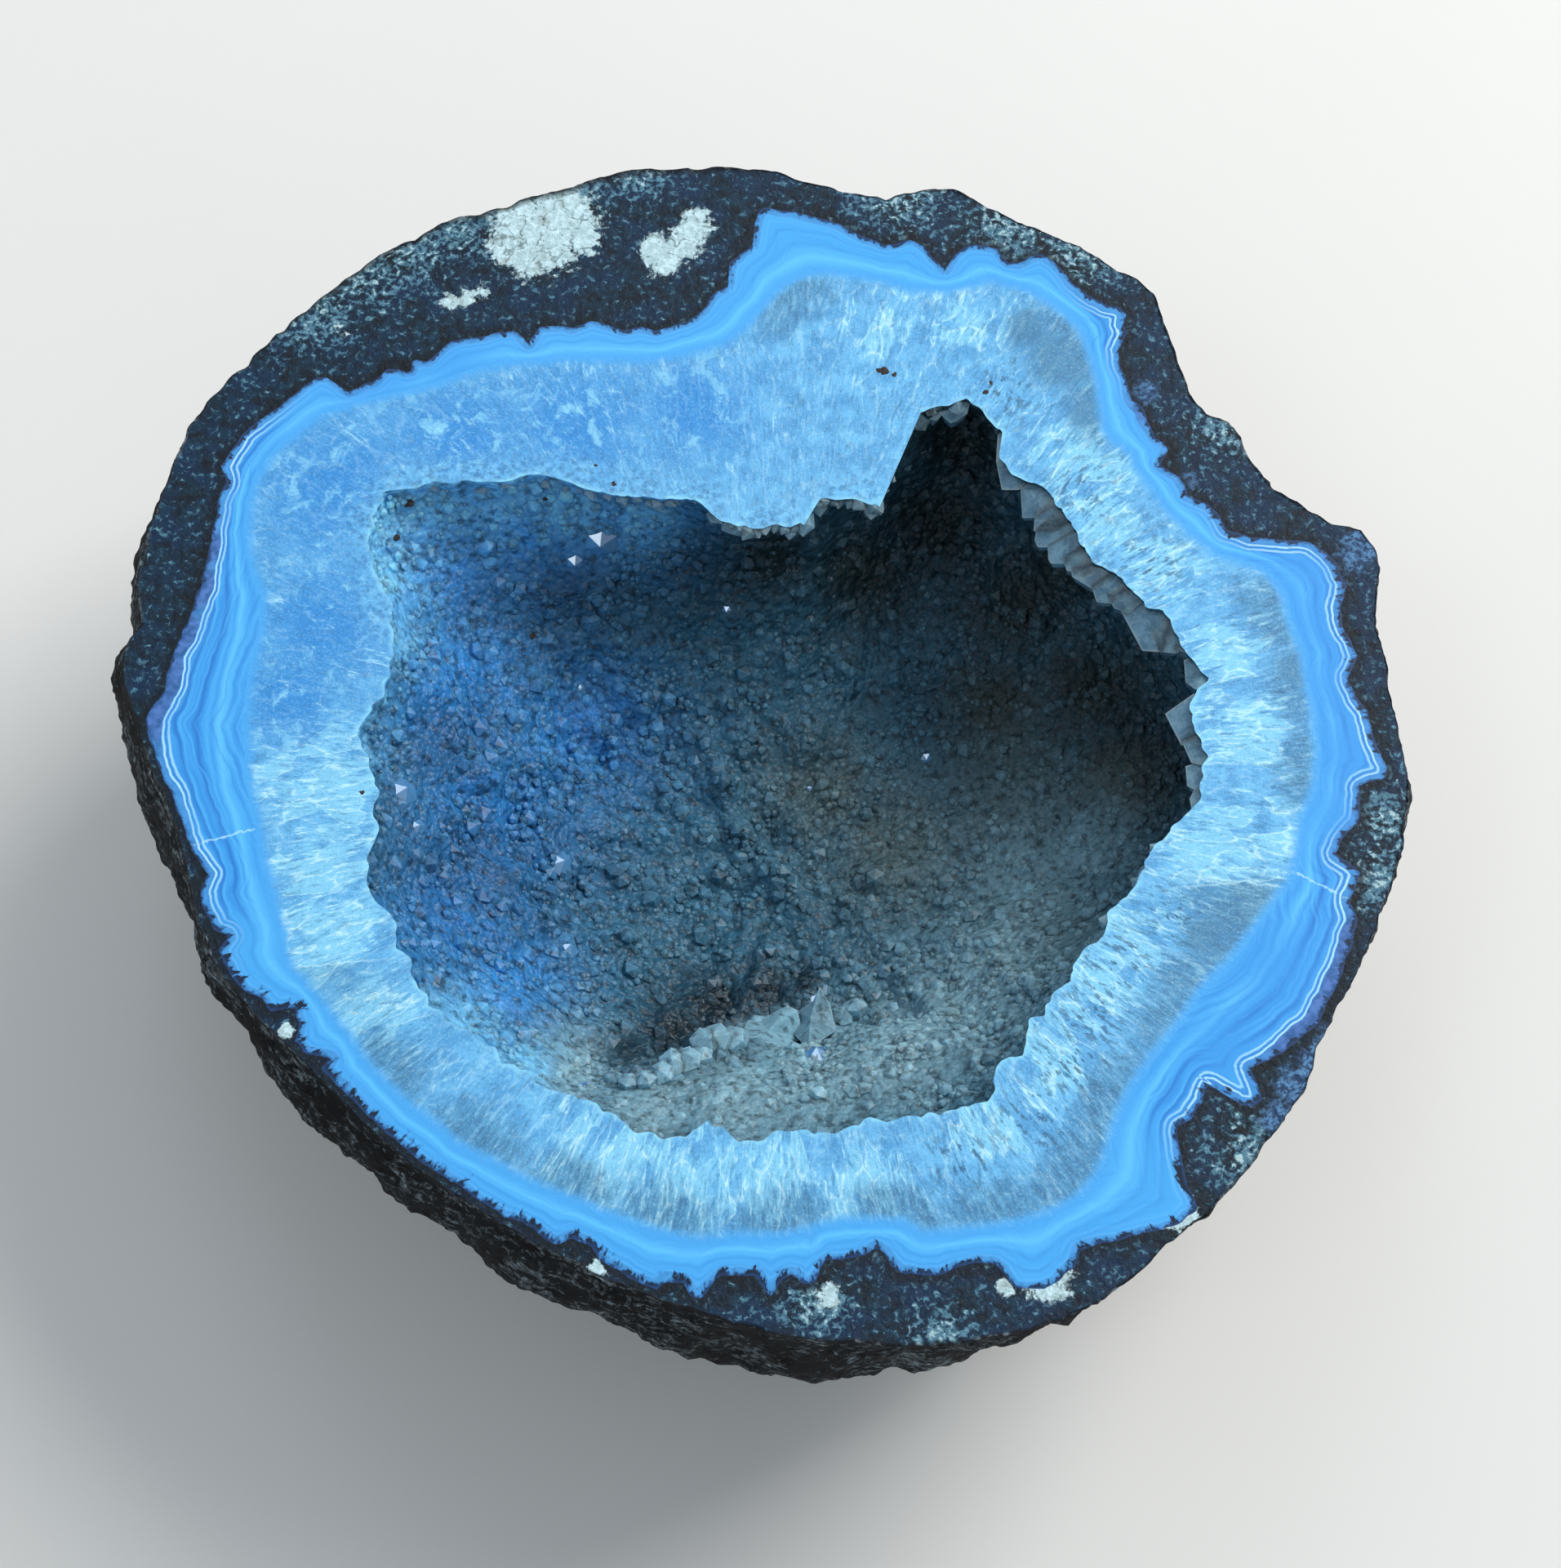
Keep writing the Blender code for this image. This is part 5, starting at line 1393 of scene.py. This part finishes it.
# The camera.
camera_data = bpy.data.cameras.new("camera")
camera_data.sensor_width = SENSOR
camera_data.lens = SENSOR / 2 / math.tan(VIEW_FIELD / 2)
camera_data.clip_start = 0.005
camera = bpy.data.objects.new("camera", camera_data)
bpy.context.scene.collection.objects.link(camera)
camera.location = view_ray((0, 0))[0]
camera.rotation_euler = (math.pi / 2 - VIEW_ELEVATION, 0, 0)
bpy.context.scene.camera = camera

# Edges on the sawn face, from the outside in.
ROCK = roughened(solid_edge("rock_rind", True), ROCK_CHIPS, 1, inward=True)
AGATE = roughened(outline_edge(AGATE_OUTER_EDGE, True), AGATE_TEETH, 5)
AGATE = np.minimum(AGATE, ROCK - THINNEST_ROCK)
QUARTZ = roughened(solid_edge("quartz_wall", True), QUARTZ_EDGE_WAVES, 9)
CRUST = solid_edge("quartz_wall", False)
HOLLOW = roughened(outline_edge(HOLLOW_EDGE, False) + HOLLOW_SLACK, HOLLOW_TEETH, 13, inward=True)
CRUST = np.maximum(CRUST, HOLLOW + THINNEST_LAYER)
QUARTZ = np.maximum(QUARTZ, CRUST + THINNEST_LAYER)
AGATE = np.maximum(AGATE, QUARTZ + THINNEST_LAYER)

rock_side = Surface("rock_rind", True, 1)
agate_side = Surface("agate_band", True, 2)
quartz_side = Surface("quartz_wall", True, 2)
crust_back = Surface("crystal_crust", True, 2)
hollow = Surface("crystal_crust", False, 3)

hidden = [math.radians(degrees) for degrees in HIDDEN_ROWS]
to_agate, to_quartz, to_crust = (
    [ring_points(row, down) for row, down in zip(surface.rows(hidden), hidden)]
    for surface in (agate_side, quartz_side, crust_back)
)
off_agate, off_quartz, off_hollow = (edge_distance(edge) for edge in (AGATE, QUARTZ, HOLLOW))

# Rock.
shares = (np.arange(ROCK_ROWS) + 1) / (ROCK_ROWS + 1)
downs = math.pi / 2 * shares ** ROCK_ROW_GROWTH
side_rings = []
for down, reach in zip(downs, rock_side.rows(downs)):
    fade = float(smooth_step(math.degrees(down), 0.0, RELIEF_START))
    base = ring_points(reach, down)
    spots = base.tolist()
    rough = sum(height * wave(spots, size, 20 + i) for i, (size, height) in enumerate(ROCK_RELIEF))
    folds = wave([(p[0], p[1], p[2] * 3.0) for p in spots], ROCK_FOLDS, 31)
    rough = rough - ROCK_FOLD_HEIGHT * np.abs(folds)
    # Just below the sawn face the side starts from the chipped edge itself.
    start = float(smooth_step(math.degrees(down), 0.0, ROCK_START))
    reach = ROCK * (1 - start) + reach * start + rough * fade
    ring = ring_points(reach, down)
    ring[:, 2] = np.maximum(ring[:, 2], OFF_FLOOR)
    side_rings.append(ring)
rock_top = top_rings(ROCK, AGATE, ROCK_TOP_ROWS)
chips = np.maximum(0.0, wave(rock_top[0].tolist(), CHIP_SIZE, 41)) * CHIP_DEPTH * 2
rock_top[0][:, 2] -= chips
rings = side_rings[::-1] + rock_top + to_agate
marks = zone_marks(rings, ROCK_ZONES)
on_top = [0] * (len(side_rings) + 1) + [1] * (len(rock_top) - 1) + [0] * len(to_agate)
marks["sawn"] = [np.full(COLUMNS, share) for share in on_top]
marks["off_agate"] = [off_agate(ring) for ring in rings]
rock_piece = closed_bowl("rock", rings, (rock_side, agate_side), [(rock_material(), 0)], marks,
                         [(0, len(side_rings) + 1)])

# Agate.
degrees = [row[0] for row in SPIKE_SHARE]
spikes = np.interp(np.degrees(ANGLES), degrees, [row[1] for row in SPIKE_SHARE], period=360)
agate_top = top_rings(AGATE, QUARTZ, AGATE_TOP_ROWS)
rings = to_agate[::-1] + agate_top + to_quartz
marks = zone_marks(rings, AGATE_ZONES)
marks["line"] = [np.clip(ring + LEAST_LINE, 0, 1) for ring in marks["line"]]
marks["outer_mm"] = [off_agate(ring) for ring in rings]
marks["inner_mm"] = [off_quartz(ring) for ring in rings]
marks["spikes"] = [spikes for ring in rings]
agate_piece = closed_bowl("agate", rings, (agate_side, quartz_side), [(agate_material(), 0)], marks,
                          [(0, len(to_agate)), (len(to_agate) + len(agate_top), len(rings) + 1)])

# Quartz, and the cut edge of the crust, which is the same stone.
quartz_finish = quartz_material()
crystal_finish = crystal_material()


def quartz_marks(rings):
    return {
        "outer_mm": [off_quartz(ring) for ring in rings],
        "inner_mm": [off_hollow(ring) for ring in rings],
        **zone_marks(rings, QUARTZ_ZONES),
    }


quartz_top = top_rings(QUARTZ, CRUST, QUARTZ_TOP_ROWS)
rings = to_quartz[::-1] + quartz_top + to_crust
quartz_piece = closed_bowl("quartz", rings, (quartz_side, crust_back), [(quartz_finish, 0)],
                           quartz_marks(rings),
                           [(0, len(to_quartz)), (len(to_quartz) + len(quartz_top), len(rings) + 1)])

# The skin of the hollow.
shares = (np.arange(CRUST_ROWS) + 1) / (CRUST_ROWS + 1)
downs = math.pi / 2 * shares ** CRUST_ROW_GROWTH
front_rings = []
for down, reach in zip(downs, hollow.rows(downs)):
    start = float(smooth_step(math.degrees(down), 0.0, SKIN_START))
    base = ring_points(reach, down).tolist()
    rough = sum(height * wave(base, size, 50 + i) for i, (size, height) in enumerate(SKIN_WAVES))
    reach = HOLLOW * (1 - start) + (reach + SKIN_BACK + rough) * start
    front_rings.append(ring_points(reach, down))
crust_top = top_rings(CRUST, HOLLOW, CRUST_TOP_ROWS)
rings = to_crust[::-1] + crust_top + front_rings
marks = {**quartz_marks(rings), **zone_marks(rings, DRUSE_ZONES)}
marks.update({"tint": 0.3, "tip": 0.0, "edge_light": 0.0, "crystal": 0.0})
first_front = len(to_crust) + len(crust_top)
skin = closed_bowl("crystal_skin", rings, (crust_back, hollow),
                   [(quartz_finish, 0), (crystal_finish, first_front)], marks,
                   [(first_front, len(rings) + 1)])
SKIN_TREE = tree_of(skin.data)

# Lights.
WINDOW = Vector((-0.075, 0.34, 0.64))
KEY = Vector((0.86, 0.61, 0.98))
FRONT = Vector((-0.30, -0.30, 0.75))


def softbox(name, place, aim, size, power, colour):
    data = bpy.data.lights.new(name, "AREA")
    data.shape = "RECTANGLE"
    data.size, data.size_y = size
    data.energy = power
    data.color = colour
    lamp = bpy.data.objects.new(name, data)
    bpy.context.scene.collection.objects.link(lamp)
    lamp.location = place
    lamp.rotation_euler = (Vector(aim) - Vector(place)).to_track_quat("-Z", "Y").to_euler()
    return lamp


softbox("key", KEY, (0, 0, 0.03), (0.8, 0.8), 18.4, (1.0, 0.98, 0.95))
softbox("window", WINDOW, (-0.02, 0.02, 0.044), (0.20, 0.18), 0.30, (0.72, 0.86, 1.0))
softbox("front", FRONT, (0, 0, 0.04), (0.16, 0.16), 0.30, (0.72, 0.88, 1.0))
world = bpy.data.worlds.new("studio")
world.use_nodes = True
world.node_tree.nodes["Background"].inputs["Color"].default_value = (0.86, 0.93, 1.0, 1)
world.node_tree.nodes["Background"].inputs["Strength"].default_value = 0.5
bpy.context.scene.world = world
bpy.context.scene.view_settings.view_transform = "Standard"

rim_finish = rim_material()
crystals = crystal_mesh("crystals", scattered_crystals(), crystal_finish)
rim = crystal_mesh("rim_crystals", rim_crystals() + notch_crystals(), rim_finish, 0.8, steep=1.0)
rim_flat = plate_mesh("rim_plates", rim_plates(), rim_finish, {"edge_light": 1.0})
# Crystals on the ledge get the ledge's painted light and none of the painted shade.
LEDGE_LIGHT_MARKS = {"pit": 0.0, "dark": 0.0, "dim_shade": 0.0, "ledge": 0.8}
ledge_flat = plate_mesh("ledge_plates", ledge_plates(), crystal_finish, {"edge_light": 0.6, **LEDGE_LIGHT_MARKS})
lip = crystal_mesh("lip_crystals", lip_crystals(), crystal_finish, 0.15, 0.2, fixed=LEDGE_LIGHT_MARKS)
glints = crystal_mesh("bright_crystals", glint_crystals((WINDOW, FRONT, KEY)), bright_material())
specks = speck_piece(speck_material())

# The floor is a wide sheet that curves up far behind the stone.
half, back, high, bend, bends = 1.6, 1.1, 1.2, 0.5, 16
profile = [(-half, 0.0), (back - bend, 0.0)]
for step in range(1, bends + 1):
    turn = math.pi / 2 * step / bends
    profile.append((back - bend + bend * math.sin(turn), bend - bend * math.cos(turn)))
profile.append((back, high))
floor_points = [(side * half, y, z) for y, z in profile for side in (-1, 1)]
floor_faces = [(2 * i, 2 * i + 1, 2 * i + 3, 2 * i + 2) for i in range(len(profile) - 1)]
s = Shader("floor")
cloudy = s.mix(s.noise(s.spot, 60.0, 3), tone(226, 225, 222), tone(231, 230, 227))
floor_finish = s.done({"Base Color": cloudy, "Roughness": 0.75})
floor = made_piece("floor", floor_points, floor_faces, [floor_finish])
floor.data.polygons.foreach_set("use_smooth", [True] * len(floor_faces))

druse_pieces = (skin, crystals, rim, rim_flat, ledge_flat, lip, glints)
for piece in (rock_piece, agate_piece, quartz_piece, *druse_pieces, specks):
    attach(piece, "root")
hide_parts("rock_rind")
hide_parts("agate_band")
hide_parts("quartz_wall")
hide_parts("crystal_crust")
